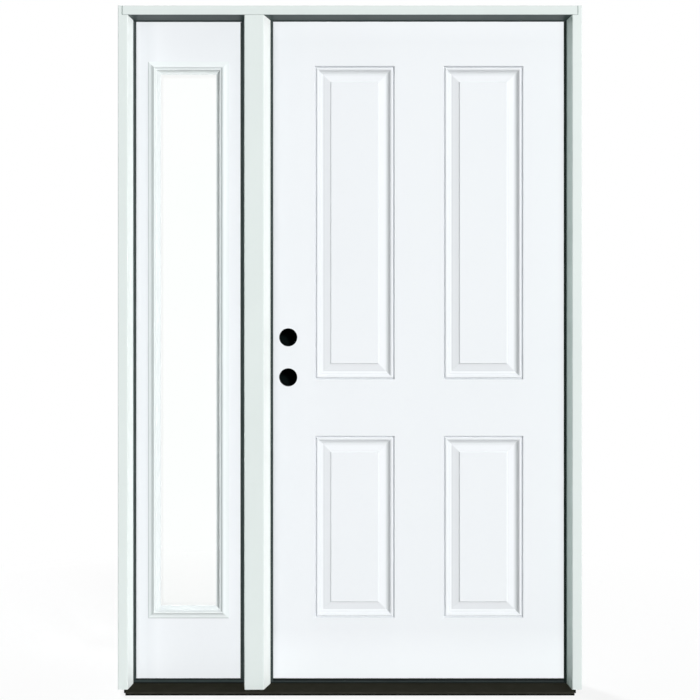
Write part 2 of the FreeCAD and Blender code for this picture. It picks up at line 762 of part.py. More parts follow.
def sidelight_core():
    stile = "(sidelight_width - cutout_width) / 2"
    stile_size = (stile, "core_thickness", "leaf_height")
    right = f"sidelight_left + {stile} + cutout_width"
    for name, x in (("left", "sidelight_left"), ("right", right)):
        stile_box = box(f"sidelight_{name}", (x, "core_front", "leaf_bottom"), stile_size)
        node(stile_box, f"sidelight_{name}_stile")
    top_z = "leaf_bottom + cutout_bottom + cutout_height"
    rails = [("bottom", "leaf_bottom", "cutout_bottom"), ("top", top_z, f"leaf_top - ({top_z})")]
    for name, z, height in rails:
        rail = box(f"sidelight_{name}", (f"sidelight_left + {stile}", "core_front", z),
                   ("cutout_width", "core_thickness", height))
        node(rail, f"sidelight_{name}_rail")


def lite_section(width, recess, hollow=None):
    """The moulded frame round the glass, inwards from its outer edge and out from the skin."""
    slope = "lite_slope_width"
    crest = f"{slope} + lite_quirk_width"
    reveal = f"{crest} + lite_crest_width"
    inner = f"{reveal} + {width}"
    leg = "lite_lap + lite_play"
    corners = [("0", "0"), ("0", "lite_lip"), (slope, "lite_crest_height"),
               (f"{slope} + lite_quirk_width / 2", "lite_crest_height - lite_quirk_depth"),
               (crest, "lite_crest_height"), (reveal, "lite_crest_height"),
               (inner, f"lite_foot - ({recess})"), (inner, f"-({recess})"),
               (leg, f"-({recess})"), (leg, "0")]
    bulges = {1: ("right", "lite_slope_sag"), 4: ("left", "lite_crest_rise")}
    if hollow:
        bulges[5] = ("right", hollow)
    return corners, bulges


def lite_frame(label, profile):
    """One half of the frame that clamps the glass, its back on the skin at y = 0, facing -Y."""
    body = new_body(label)
    left = "-lite_width / 2"
    top = "lite_bottom_margin + lite_height"
    outline = rectangle(left, "lite_bottom_margin", "lite_width / 2", top)
    path = new_sketch(body, "path", "XZ_Plane", [outline])
    corners, bulges = profile
    across = [(f"{left} + {x}", f"-({y})") for x, y in corners]
    bulges = {index: (opposite[side], rise) for index, (side, rise) in bulges.items()}
    middle = "lite_bottom_margin + lite_height / 2"
    section = new_sketch(body, "section", "XY_Plane", [(across, bulges)], middle)
    doc.recompute()
    feature = body.newObject("PartDesign::AdditivePipe", f"{label}_moulding")
    feature.Profile = section
    feature.Spine = (path, [f"Edge{number}" for number in range(1, 5)])
    feature.Transition = "Right corner"
    doc.recompute()
    return body


def glass_unit():
    corner_x = "sidelight_middle - glass_width / 2"
    pane_size = ("glass_width", "pane_thickness", "glass_height")
    node(box("outer_pane", (corner_x, "glass_front", "glass_bottom"), pane_size), "glass_exterior_pane")
    inner_y = "glass_front + glass_unit_thickness - pane_thickness"
    node(box("inner_pane", (corner_x, inner_y, "glass_bottom"), pane_size), "glass_interior_pane")
    body = new_body("glass_spacer")
    outer = rectangle("-glass_width / 2", "0", "glass_width / 2", "glass_height")
    inner = rectangle("spacer_width - glass_width / 2", "spacer_width", "glass_width / 2 - spacer_width",
                      "glass_height - spacer_width")
    pad(body, new_sketch(body, "ring", "XZ_Plane", [outer, inner]), "spacer_depth", reverse=True)
    place(body, "sidelight_middle", "glass_front + pane_thickness", "glass_bottom")


sidelight_skin("sidelight_exterior_skin", "leaf_front")
sidelight_skin("sidelight_interior_skin", "jamb_depth - skin_thickness")
sidelight_core()
glass_unit()
outer_profile = lite_section("lite_reveal_width", "glass_recess", "lite_reveal_sag")
exterior_lite = lite_frame("lite_frame_exterior", outer_profile)
place(exterior_lite, "sidelight_middle", "leaf_front", "leaf_bottom")
inner_profile = lite_section("inner_reveal_width", "inner_recess")
interior_lite = lite_frame("lite_frame_interior", inner_profile)
interior_lite.Placement = Placement(Vector(), Rotation(Vector(0, 0, 1), 180))
place(interior_lite, "sidelight_middle", "jamb_depth", "leaf_bottom")


# Check every object and write one file for each piece

doc.recompute()
for item in doc.Objects:
    if "Invalid" in item.State or "Error" in item.State:
        raise RuntimeError(f"{item.Label} failed: {item.State}")
for item in nodes:
    if item.Shape.isNull() or not item.Shape.isValid():
        raise RuntimeError(f"{item.Label} has no valid shape")
os.makedirs("parts", exist_ok=True)
for item in nodes:
    item.Shape.exportStep(f"parts/{item.Label}.step")
    print(item.Label, len(item.Shape.Solids), round(item.Shape.Volume / 1000, 1), "cm3")
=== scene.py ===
import math

import bmesh
import bpy
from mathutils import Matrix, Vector


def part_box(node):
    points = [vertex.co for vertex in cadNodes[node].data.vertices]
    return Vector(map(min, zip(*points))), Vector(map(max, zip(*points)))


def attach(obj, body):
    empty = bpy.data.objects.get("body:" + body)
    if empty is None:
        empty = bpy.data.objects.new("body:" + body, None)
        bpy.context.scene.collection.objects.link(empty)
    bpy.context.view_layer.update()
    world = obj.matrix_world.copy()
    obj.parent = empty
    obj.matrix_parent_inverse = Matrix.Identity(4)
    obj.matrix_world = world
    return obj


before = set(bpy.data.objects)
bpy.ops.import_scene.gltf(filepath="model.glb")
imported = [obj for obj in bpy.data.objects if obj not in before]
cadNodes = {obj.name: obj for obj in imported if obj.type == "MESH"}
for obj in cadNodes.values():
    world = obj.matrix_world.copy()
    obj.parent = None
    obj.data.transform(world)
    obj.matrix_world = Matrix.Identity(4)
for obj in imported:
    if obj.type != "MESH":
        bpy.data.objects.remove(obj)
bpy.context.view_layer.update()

hingeNames = ("upper", "middle", "lower")
print("frame loaded:", len(cadNodes), "CAD nodes")


# small helpers for node trees

def seen(red, green, blue):
    # a colour as it is seen on screen, 0 to 255, turned into linear light
    def linear(channel):
        channel = channel / 255
        if channel <= 0.04045:
            return channel / 12.92
        return ((channel + 0.055) / 1.055) ** 2.4
    return (linear(red), linear(green), linear(blue), 1.0)


def addNode(tree, kind, **settings):
    node = tree.nodes.new(kind)
    for key, setting in settings.items():
        setattr(node, key, setting)
    return node


def feed(tree, socket, source):
    # a link where source is a socket, otherwise a plain value
    if isinstance(source, bpy.types.NodeSocket):
        tree.links.new(source, socket)
    else:
        socket.default_value = source


def fill(tree, node, sources):
    for label, source in sources.items():
        feed(tree, node.inputs[label], source)


def maths(tree, operation, *sources, clamp=False):
    node = addNode(tree, "ShaderNodeMath", operation=operation, use_clamp=clamp)
    for socket, source in zip(node.inputs, sources):
        feed(tree, socket, source)
    return node.outputs[0]


def plus(tree, first, second):
    return maths(tree, "ADD", first, second)


def minus(tree, first, second):
    return maths(tree, "SUBTRACT", first, second)


def times(tree, first, second):
    return maths(tree, "MULTIPLY", first, second)


def apart(tree, first, second):
    return maths(tree, "ABSOLUTE", minus(tree, first, second))


def length(tree, across, up):
    return maths(tree, "SQRT", plus(tree, times(tree, across, across), times(tree, up, up)))


def ranged(tree, source, fromLow, fromHigh, toLow, toHigh):
    node = addNode(tree, "ShaderNodeMapRange")
    fill(tree, node, {"From Min": fromLow, "From Max": fromHigh, "To Min": toLow, "To Max": toHigh,
                      "Value": source})
    return node.outputs["Result"]


def band(tree, source, start, end, amount=1.0):
    # rises over start, stays at amount, and falls over end
    return times(tree, ranged(tree, source, *start, 0.0, amount), ranged(tree, source, *end, 1.0, 0.0))


def softened(edge, blend):
    return edge - blend, edge + blend


def mixed(tree, factor, first, second):
    node = addNode(tree, "ShaderNodeMix", data_type="RGBA")
    feed(tree, node.inputs[0], factor)
    feed(tree, node.inputs[6], first)
    feed(tree, node.inputs[7], second)
    return node.outputs[2]


def noise(tree, vector, scale, detail=3.0, roughness=0.55):
    node = addNode(tree, "ShaderNodeTexNoise")
    fill(tree, node, {"Vector": vector, "Scale": scale, "Detail": detail, "Roughness": roughness})
    return node.outputs[0]


def stretched(tree, vector, scale):
    node = addNode(tree, "ShaderNodeMapping")
    fill(tree, node, {"Scale": scale, "Vector": vector})
    return node.outputs["Vector"]


def splitAxes(tree, vector):
    node = addNode(tree, "ShaderNodeSeparateXYZ")
    feed(tree, node.inputs[0], vector)
    return node.outputs


def facingAxes(tree):
    return splitAxes(tree, addNode(tree, "ShaderNodeNewGeometry").outputs["Normal"])


def turnedAxes(tree, axes):
    # X and Z change places, for timber that lies along X
    node = addNode(tree, "ShaderNodeCombineXYZ")
    fill(tree, node, {"X": axes["Z"], "Y": axes["Y"], "Z": axes["X"]})
    return node.outputs[0]


def newGroup(name, inputs, outputs):
    group = bpy.data.node_groups.new(name, "ShaderNodeTree")
    for way, sockets in (("INPUT", inputs), ("OUTPUT", outputs)):
        for label, kind in sockets.items():
            group.interface.new_socket(label, in_out=way, socket_type=kind)
    start = group.nodes.new("NodeGroupInput").outputs
    end = group.nodes.new("NodeGroupOutput").inputs
    return group, start, end


def useGroup(tree, group, **sources):
    node = addNode(tree, "ShaderNodeGroup", node_tree=group)
    fill(tree, node, sources)
    return node.outputs


def newMaterial(name):
    material = bpy.data.materials.new(name)
    material.use_nodes = True
    tree = material.node_tree
    place = addNode(tree, "ShaderNodeTexCoord").outputs["Object"]
    return material, tree, tree.nodes["Principled BSDF"], place


def finishShader(tree, shader, finish, color, roughness, height):
    feed(tree, shader.inputs["Base Color"], color)
    feed(tree, shader.inputs["Roughness"], roughness)
    if "ior" in finish:
        shader.inputs["IOR"].default_value = finish["ior"]
    bump = addNode(tree, "ShaderNodeBump")
    strength, depth = finish["bump"]
    fill(tree, bump, {"Strength": strength, "Distance": depth, "Height": height})
    tree.links.new(bump.outputs["Normal"], shader.inputs["Normal"])


def dress(material, *names):
    for name in names:
        node = cadNodes[name]
        if not node.material_slots:
            node.data.materials.append(material)
        for slot in node.material_slots:
            slot.material = material


# effects shared by several finishes

colorKind, floatKind, vectorKind = "NodeSocketColor", "NodeSocketFloat", "NodeSocketVector"
surfaceKinds = {"Color": colorKind, "Roughness": floatKind, "Height": floatKind}

filmLook = {"cloud": 2.6, "cloudDetail": 4.0, "span": (0.3, 0.7), "speck": 210.0, "speckTone": 0.03,
            "fineDetail": 2.0, "glossSpread": 0.05}


def makePaintFilm():
    # sprayed paint: broad mottling, fine orange peel
    group, start, end = newGroup(
        "paintFilm",
        {"Vector": vectorKind, "Color": colorKind, "Shade": colorKind, "Mottle": floatKind, "Peel": floatKind,
         "Gloss": floatKind},
        surfaceKinds)
    cloud = noise(group, start["Vector"], filmLook["cloud"], filmLook["cloudDetail"])
    speck = noise(group, start["Vector"], filmLook["speck"], filmLook["fineDetail"])
    tone = times(group, ranged(group, cloud, *filmLook["span"], 0.0, 1.0), start["Mottle"])
    tone = maths(group, "ADD", tone, times(group, speck, filmLook["speckTone"]), clamp=True)
    feed(group, end["Color"], mixed(group, tone, start["Color"], start["Shade"]))
    spread = filmLook["glossSpread"]
    uneven = ranged(group, cloud, *filmLook["span"], -spread, spread)
    feed(group, end["Roughness"], plus(group, start["Gloss"], uneven))
    feed(group, end["Height"], noise(group, start["Vector"], start["Peel"], filmLook["fineDetail"]))
    return group


grainLook = {"ringStretch": 0.035, "distortion": 5.0, "detail": 3.0, "detailScale": 1.4,
             "pore": 900.0, "poreStretch": 0.018}


def makeTimberGrain():
    # growth rings and pores that run along Z of the vector it is given
    group, start, end = newGroup(
        "timberGrain", {"Vector": vectorKind, "Scale": floatKind}, {"Rings": floatKind, "Pores": floatKind})
    wave = addNode(group, "ShaderNodeTexWave", wave_type="BANDS", bands_direction="DIAGONAL")
    fill(group, wave, {"Vector": stretched(group, start["Vector"], (1.0, 1.0, grainLook["ringStretch"])),
                       "Scale": start["Scale"], "Distortion": grainLook["distortion"],
                       "Detail": grainLook["detail"], "Detail Scale": grainLook["detailScale"]})
    feed(group, end["Rings"], wave.outputs[1])
    fibres = stretched(group, start["Vector"], (1.0, 1.0, grainLook["poreStretch"]))
    feed(group, end["Pores"], noise(group, fibres, grainLook["pore"], grainLook["detail"]))
    return group


fingerLook = {"lineWidth": 0.0025}


def makeFingerJoint():
    # blocks glued end to end along Z with a zigzag joint
    group, start, end = newGroup(
        "fingerJoint",
        {"Vector": vectorKind, "Block": floatKind, "Finger": floatKind, "Teeth": floatKind},
        {"Tone": floatKind, "Line": floatKind})
    axes = splitAxes(group, start["Vector"])
    across = plus(group, axes["X"], axes["Y"])
    zigzag = maths(group, "PINGPONG", times(group, across, start["Teeth"]), 1.0)
    shifted = plus(group, axes["Z"], times(group, zigzag, start["Finger"]))
    block = maths(group, "DIVIDE", shifted, start["Block"])
    random = addNode(group, "ShaderNodeTexWhiteNoise", noise_dimensions="1D")
    feed(group, random.inputs["W"], maths(group, "FLOOR", block))
    feed(group, end["Tone"], random.outputs["Value"])
    edge = maths(group, "PINGPONG", block, 0.5)
    feed(group, end["Line"], ranged(group, edge, 0.0, fingerLook["lineWidth"], 1.0, 0.0))
    return group


brushLook = {"line": 1500.0, "lineStretch": 0.012, "lineRoughness": 0.7, "cloud": 9.0, "detail": 4.0,
             "lineShare": 0.7, "cloudShare": 0.3, "toneSpan": (0.35, 0.65), "glossSpan": (0.3, 0.7),
             "glossSpread": 0.08}


def makeBrushedLines():
    # drawn or brushed metal, with lines along X of the vector it is given
    group, start, end = newGroup(
        "brushedLines",
        {"Vector": vectorKind, "Color": colorKind, "Worn": colorKind, "Contrast": floatKind,
         "Gloss": floatKind},
        surfaceKinds)
    drawn = stretched(group, start["Vector"], (brushLook["lineStretch"], 1.0, 1.0))
    lines = noise(group, drawn, brushLook["line"], brushLook["detail"], brushLook["lineRoughness"])
    cloud = noise(group, start["Vector"], brushLook["cloud"], brushLook["detail"])
    tone = plus(group, times(group, lines, brushLook["lineShare"]),
                times(group, cloud, brushLook["cloudShare"]))
    tone = times(group, ranged(group, tone, *brushLook["toneSpan"], 0.0, 1.0), start["Contrast"])
    feed(group, end["Color"], mixed(group, tone, start["Color"], start["Worn"]))
    spread = brushLook["glossSpread"]
    uneven = ranged(group, lines, *brushLook["glossSpan"], -spread, spread)
    feed(group, end["Roughness"], plus(group, start["Gloss"], uneven))
    feed(group, end["Height"], lines)
    return group


mouldLook = {"cloud": 14.0, "detail": 5.0, "bloomSpan": (0.42, 0.75), "bloomMost": 0.6,
             "glossSpan": (0.3, 0.7), "glossSpread": 0.06}


def makeMouldedGrain():
    # moulded plastic or rubber: a pebbled skin with uneven sheen
    group, start, end = newGroup(
        "mouldedGrain",
        {"Vector": vectorKind, "Color": colorKind, "Bloom": colorKind, "Pebble": floatKind,
         "Gloss": floatKind},
        surfaceKinds)
    pebble = addNode(group, "ShaderNodeTexVoronoi", feature="SMOOTH_F1")
    fill(group, pebble, {"Vector": start["Vector"], "Scale": start["Pebble"]})
    cloud = noise(group, start["Vector"], mouldLook["cloud"], mouldLook["detail"])
    tone = ranged(group, cloud, *mouldLook["bloomSpan"], 0.0, mouldLook["bloomMost"])
    feed(group, end["Color"], mixed(group, tone, start["Color"], start["Bloom"]))
    spread = mouldLook["glossSpread"]
    uneven = ranged(group, cloud, *mouldLook["glossSpan"], -spread, spread)
    feed(group, end["Roughness"], plus(group, start["Gloss"], uneven))
    feed(group, end["Height"], pebble.outputs["Distance"])
    return group


dustLook = {"upFrom": 0.35, "patch": 22.0, "detail": 6.0, "roughness": 0.65, "span": (0.35, 0.75),
            "least": 0.25}


def makeSettledDust():
    # fine dust on faces that look up
    group, start, end = newGroup(
        "settledDust",
        {"Vector": vectorKind, "Color": colorKind, "Dust": colorKind, "Amount": floatKind},
        {"Color": colorKind})
    upward = ranged(group, facingAxes(group)["Z"], dustLook["upFrom"], 1.0, 0.0, 1.0)
    cloud = noise(group, start["Vector"], dustLook["patch"], dustLook["detail"], dustLook["roughness"])
    patches = ranged(group, cloud, *dustLook["span"], dustLook["least"], 1.0)
    amount = maths(group, "MULTIPLY", times(group, upward, patches), start["Amount"], clamp=True)
    feed(group, end["Color"], mixed(group, amount, start["Color"], start["Dust"]))
    return group


lockBore = {"radius": 0.027, "edgeRadius": 0.0127, "coverLap": 0.005, "boreShadeTone": seen(8, 13, 13),
            "shadedTo": (0.0001, 0.0004), "cutOff": 10.0}
# the bores' places come from the covers behind them
coverLow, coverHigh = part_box("bore_covers")
boreMiddle = (coverLow.x + coverHigh.x) / 2
coverRadius = lockBore["radius"] + lockBore["coverLap"]
boreHeights = (coverLow.z + coverRadius, coverHigh.z - coverRadius)
leafMiddle = (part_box("leaf_exterior_skin")[0].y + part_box("leaf_interior_skin")[1].y) / 2


def makeBoreShade():
    # painted shade: the walls of the two lock bores, and of the bores to them from the leaf's edge, are
    # painted dark
    group, start, end = newGroup(
        "boreShade",
        {"Vector": vectorKind, "Color": colorKind, "Sealer": colorKind},
        {"Color": colorKind, "Mask": floatKind})
    axes = splitAxes(group, start["Vector"])
    across = minus(group, axes["X"], boreMiddle)
    inward = minus(group, axes["Y"], leafMiddle)
    # the edge bores stop at the lock bores
    beyond = times(group, maths(group, "MAXIMUM", across, 0.0), lockBore["cutOff"])
    nearest = 1.0
    for height in boreHeights:
        up = minus(group, axes["Z"], height)
        fromEdgeBore = plus(group, length(group, inward, up), lockBore["radius"] - lockBore["edgeRadius"])
        nearest = maths(group, "MINIMUM", length(group, across, up), nearest)
        nearest = maths(group, "MINIMUM", plus(group, fromEdgeBore, beyond), nearest)
    near, far = lockBore["shadedTo"]
    mask = ranged(group, nearest, lockBore["radius"] + near, lockBore["radius"] + far, 1.0, 0.0)
    feed(group, end["Color"], mixed(group, mask, start["Color"], start["Sealer"]))
    feed(group, end["Mask"], mask)
    return group


paintFilm = makePaintFilm()
timberGrain = makeTimberGrain()
fingerJoint = makeFingerJoint()
brushedLines = makeBrushedLines()
mouldedGrain = makeMouldedGrain()
settledDust = makeSettledDust()
boreShade = makeBoreShade()
print("shared effects ready")


# finishes

def usePaint(tree, place, finish):
    return useGroup(tree, paintFilm, Vector=place, Color=finish["color"], Shade=finish["shade"],
                    Mottle=finish["mottle"], Peel=finish["peel"], Gloss=finish["gloss"])


def usePine(tree, along, finish):
    grain = useGroup(tree, timberGrain, Vector=along, Scale=finish["rings"])
    joint = useGroup(tree, fingerJoint, Vector=along, Block=finish["block"], Finger=finish["finger"],
                     Teeth=finish["teeth"])
    return grain, joint


def useMetal(tree, vector, finish):
    return useGroup(tree, brushedLines, Vector=vector, Color=finish["color"], Worn=finish["worn"],
                    Contrast=finish["contrast"], Gloss=finish["gloss"])


def useDust(tree, place, color, finish):
    return useGroup(tree, settledDust, Vector=place, Color=color, Dust=finish["dust"],
                    Amount=finish["dustAmount"])["Color"]


framePaint = {"seam": seen(187, 194, 191), "seamStrength": 0.16, "grainTone": 0.10, "mottle": 0.5,
              "peel": 420.0, "gloss": 0.46, "rings": 34.0, "block": 0.62, "finger": 0.011, "teeth": 170.0,
              "poreShare": 0.7, "peelShare": 0.3, "bump": (0.18, 0.0004), "sideways": (0.7, 0.9),
              "revealReach": 0.30, "underside": seen(50, 65, 64), "downward": (0.6, 0.9),
              "jointLine": seen(150, 160, 157), "jointWidth": 0.0044, "jointDepth": 0.9}
frameCoats = {"left": {"color": seen(212, 219, 217), "shade": seen(203, 210, 208), "ior": 1.45,
                       "reveal": seen(231, 237, 235), "deepRevealLight": seen(248, 253, 251)},
              "mullion": {"color": seen(212, 219, 217), "shade": seen(203, 210, 208), "ior": 1.45,
                          "reveal": seen(229, 233, 231), "deepRevealLight": seen(238, 241, 239)},
              "hinge": {"color": seen(215, 222, 220), "shade": seen(206, 213, 211), "ior": 1.30,
                        "shadedReveal": seen(212, 227, 221)},
              "head": {"color": seen(212, 219, 217), "shade": seen(203, 210, 208), "ior": 1.32}}


def makeFramePaint(name, coatAndLight, turned):
    # primer over finger-jointed pine: grain and joints just show through
    material, tree, shader, place = newMaterial(name)
    axes, facing = splitAxes(tree, place), facingAxes(tree)
    finish = {**framePaint, **coatAndLight}
    film = usePaint(tree, place, finish)
    grain, joint = usePine(tree, turnedAxes(tree, axes) if turned else place, finish)
    veil = times(tree, grain["Pores"], finish["grainTone"])
    color = mixed(tree, veil, film["Color"], finish["seam"])
    color = mixed(tree, times(tree, joint["Line"], finish["seamStrength"]), color, finish["seam"])
    partly, fully = finish["sideways"]
    if "reveal" in coatAndLight:
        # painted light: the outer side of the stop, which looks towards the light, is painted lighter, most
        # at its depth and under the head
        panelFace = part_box("sidelight_exterior_skin")[0].y
        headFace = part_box("head_jamb")[0].z
        inward = ranged(tree, axes["Y"], 0.0, panelFace, 0.0, 1.0)
        upward = ranged(tree, axes["Z"], headFace - finish["revealReach"], headFace, 0.0, 1.0)
        reveal = mixed(tree, maths(tree, "MAXIMUM", inward, upward), coatAndLight["reveal"], coatAndLight["deepRevealLight"])
        sideways = ranged(tree, facing["X"], partly, fully, 0.0, 1.0)
        outside = maths(tree, "LESS_THAN", axes["Y"], panelFace)
        color = mixed(tree, times(tree, sideways, outside), color, reveal)
    # painted shade: a teal tint on the sides that look away from the light
    if "shadedReveal" in coatAndLight:
        otherWay = ranged(tree, facing["X"], -fully, -partly, 1.0, 0.0)
        color = mixed(tree, otherWay, color, coatAndLight["shadedReveal"])
    if turned:
        # painted shade: the head's faces that look down are painted dark, and a grey joint line shows at its
        # two ends
        partly, fully = finish["downward"]
        below = ranged(tree, facing["Z"], -fully, -partly, 1.0, 0.0)
        color = mixed(tree, below, color, finish["underside"])
        headEnd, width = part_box("head_jamb")[1].x, finish["jointWidth"]
        endJoint = ranged(tree, maths(tree, "ABSOLUTE", axes["X"]), headEnd - width, headEnd - width / 2,
                          0.0, finish["jointDepth"])
        color = mixed(tree, endJoint, color, finish["jointLine"])
    ridges = plus(tree, times(tree, grain["Pores"], finish["poreShare"]),
                  times(tree, film["Height"], finish["peelShare"]))
    finishShader(tree, shader, finish, color, film["Roughness"], ridges)
    return material


panelPaint = {"color": seen(222, 224, 227), "shade": seen(218, 221, 224), "mottle": 0.45, "peel": 620.0,
              "gloss": 0.46, "ior": 1.2, "bump": (0.10, 0.0003),
              # painted shade: greys beside the frame's bright sides, from the left edges of the sidelight and
              # the leaf
              "edgeShadeTone": seen(172, 176, 180),
              "sidelightEdge": {"start": (0.025, 0.036), "end": (0.056, 0.085), "amount": 0.20},
              "leafEdge": {"start": (0.004, 0.028), "end": (0.028, 0.115), "amount": 0.15},
              # painted light: its amount and reach at the foot and the top, on the field and at the hinge
              # edge
              "paintedLightTone": seen(240, 243, 245), "foot": (0.60, 0.15), "top": (0.35, 0.07),
              "sidelightShare": 0.3, "fieldLight": 0.18, "fieldFrom": 0.05, "fieldFull": 0.40,
              "hingeLight": 0.30, "hingeReach": 0.012, "flat": (0.985, 0.998),
              # painted shade and light in the mouldings, by depth behind the face and by distance from a
              # panel's outer line
              "recessShadeTone": seen(150, 155, 156), "recess": (0.0064, 0.0078), "recessShadeAmount": 0.22,
              "shadedCove": (0.0150, 0.0255), "litCove": (0.0205, 0.0262), "litBead": (0.0125, 0.0190),
              "coveBlend": 0.0010, "coveShade": 0.40, "coveLight": 0.50, "beadShade": 0.12}
# the raised panels' outer lines, from the leaf's edges and foot
raisedPanels = {"stile": 0.1402, "width": 0.2403, "lower": (0.1815, 0.7295), "upper": (0.8990, 1.8435)}


def findCoves(tree, x, z, leafLow, leafHigh):
    # masks of the coves that look away from the light, at the right, of those that look towards it, at the
    # left and the foot, and of the beads that catch it most, at the left
    halfWidth = raisedPanels["width"] / 2
    inset = raisedPanels["stile"] + halfWidth
    (lowerFoot, lowerTop), (upperFoot, upperTop) = raisedPanels["lower"], raisedPanels["upper"]
    atRight = maths(tree, "GREATER_THAN", x, (leafLow.x + leafHigh.x) / 2)
    atTop = maths(tree, "GREATER_THAN", z, leafLow.z + (lowerTop + upperFoot) / 2)
    middleX = ranged(tree, atRight, 0.0, 1.0, leafLow.x + inset, leafHigh.x - inset)
    middleZ = ranged(tree, atTop, 0.0, 1.0, leafLow.z + (lowerFoot + lowerTop) / 2,
                     leafLow.z + (upperFoot + upperTop) / 2)
    halfHeight = ranged(tree, atTop, 0.0, 1.0, (lowerTop - lowerFoot) / 2, (upperTop - upperFoot) / 2)
    across, up = minus(tree, x, middleX), minus(tree, z, middleZ)
    fromSide = minus(tree, halfWidth, maths(tree, "ABSOLUTE", across))
    fromEnd = minus(tree, halfHeight, maths(tree, "ABSOLUTE", up))
    nearest = maths(tree, "MINIMUM", fromSide, fromEnd)
    shadedZone, litZone, beadZone = (
        band(tree, nearest, *(softened(edge, panelPaint["coveBlend"]) for edge in panelPaint[zone]))
        for zone in ("shadedCove", "litCove", "litBead"))
    onSide = maths(tree, "LESS_THAN", fromSide, fromEnd)
    onLeft = times(tree, onSide, maths(tree, "LESS_THAN", across, 0.0))
    onRight = minus(tree, onSide, onLeft)
    onFoot = times(tree, minus(tree, 1.0, onSide), maths(tree, "LESS_THAN", up, 0.0))
    shaded = times(tree, shadedZone, onRight)
    lit = times(tree, litZone, plus(tree, onLeft, onFoot))
    bead = times(tree, beadZone, onLeft)
    return shaded, lit, bead


def makePanelPaint():
    # smooth factory-painted skins of the leaf and the sidelight
    material, tree, shader, place = newMaterial("panelPaint")
    film = usePaint(tree, place, panelPaint)
    axes = splitAxes(tree, place)
    sideLow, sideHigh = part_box("sidelight_exterior_skin")
    leafLow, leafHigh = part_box("leaf_exterior_skin")
    # outside, a soft painted shade near the edges beside the frame's bright sides
    outside = maths(tree, "LESS_THAN", axes["Y"], leafMiddle)
    tone = 0.0
    for edge, zone in ((sideLow.x, panelPaint["sidelightEdge"]), (leafLow.x, panelPaint["leafEdge"])):
        tone = plus(tree, tone, band(tree, minus(tree, axes["X"], edge), **zone))
    color = mixed(tree, times(tree, tone, outside), film["Color"], panelPaint["edgeShadeTone"])
    # and painted light towards the foot and the top
    coatAndLight = 0.0
    for end, (amount, reach) in ((leafLow.z, panelPaint["foot"]), (leafHigh.z, panelPaint["top"])):
        coatAndLight = plus(tree, coatAndLight, ranged(tree, apart(tree, axes["Z"], end), 0.0, reach, amount, 0.0))
    share = ranged(tree, axes["X"], sideHigh.x, leafLow.x, panelPaint["sidelightShare"], 1.0)
    coatAndLight = times(tree, coatAndLight, share)
    # and painted light on the leaf's flat faces, away from the mullion, and at its hinge edge
    field = ranged(tree, axes["X"], leafLow.x + panelPaint["fieldFrom"], leafLow.x + panelPaint["fieldFull"],
                   0.0, panelPaint["fieldLight"])
    hingeEdge = ranged(tree, axes["X"], leafHigh.x - panelPaint["hingeReach"], leafHigh.x,
                       0.0, panelPaint["hingeLight"])
    flat = ranged(tree, maths(tree, "ABSOLUTE", facingAxes(tree)["Y"]), *panelPaint["flat"], 0.0, 1.0)
    coatAndLight = maths(tree, "ADD", coatAndLight, times(tree, plus(tree, field, hingeEdge), flat), clamp=True)
    color = mixed(tree, times(tree, coatAndLight, outside), color, panelPaint["paintedLightTone"])
    # painted shade: the bottoms of the mouldings are a little grey
    recess = minus(tree, leafMiddle - leafLow.y, apart(tree, axes["Y"], leafMiddle))
    grey = ranged(tree, recess, *panelPaint["recess"], 0.0, panelPaint["recessShadeAmount"])
    # outside, more painted shade in the coves that look away from the light, and painted light instead of
    # grey in those that look towards it
    shaded, lit, bead = findCoves(tree, axes["X"], axes["Z"], leafLow, leafHigh)
    lit = times(tree, lit, outside)
    shaded = plus(tree, times(tree, shaded, panelPaint["coveShade"]),
                  times(tree, bead, panelPaint["beadShade"]))
    shaded = times(tree, shaded, outside)
    grey = times(tree, grey, minus(tree, 1.0, lit))
    color = mixed(tree, times(tree, lit, panelPaint["coveLight"]), color, panelPaint["paintedLightTone"])
    color = mixed(tree, maths(tree, "MAXIMUM", grey, shaded), color, panelPaint["recessShadeTone"])
    # painted shade: dark inside the bores
    bored = useGroup(tree, boreShade, Vector=place, Color=color, Sealer=lockBore["boreShadeTone"])
    roughness = maths(tree, "MAXIMUM", film["Roughness"], bored["Mask"])
    finishShader(tree, shader, panelPaint, bored["Color"], roughness, film["Height"])
    return material


litePlastic = {"color": seen(209, 214, 215), "shade": seen(203, 208, 209), "mottle": 0.4, "peel": 900.0,
               "gloss": 0.38, "ior": 1.28, "bump": (0.08, 0.0002), "dark": seen(120, 127, 127),
               "light": seen(244, 248, 248), "blend": 0.0006, "revealFrom": 0.0267,
               "headRevealLight": seen(238, 243, 243), "footRevealShade": seen(206, 211, 212)}
# bands of painted light and shade on each outer member, from its outer edge inwards: start, end, tone and
# amount
liteBands = {
    "left": ((-0.001, 0.0024, "dark", 0.35), (0.0080, 0.0140, "dark", 0.22), (0.0140, 0.0172, "dark", 0.38),
             (0.0172, 0.0198, "light", 0.40), (0.0198, 0.0262, "light", 0.45)),
    "right": ((0.0, 0.0150, "light", 0.15), (0.0180, 0.0205, "dark", 0.30), (0.0205, 0.0240, "dark", 0.65),
              (0.0240, 0.0295, "light", 0.30), (0.0295, 0.0350, "dark", 0.45)),
    "head": ((0.0, 0.0165, "light", 0.28), (0.0165, 0.0200, "light", 0.35), (0.0200, 0.0232, "dark", 0.25),
             (0.0232, 0.0272, "light", 0.45)),
    "foot": ((-0.001, 0.0024, "dark", 0.35), (0.0024, 0.0110, "light", 0.28), (0.0140, 0.0170, "light", 0.12),
             (0.0170, 0.0220, "light", 0.65)),
}


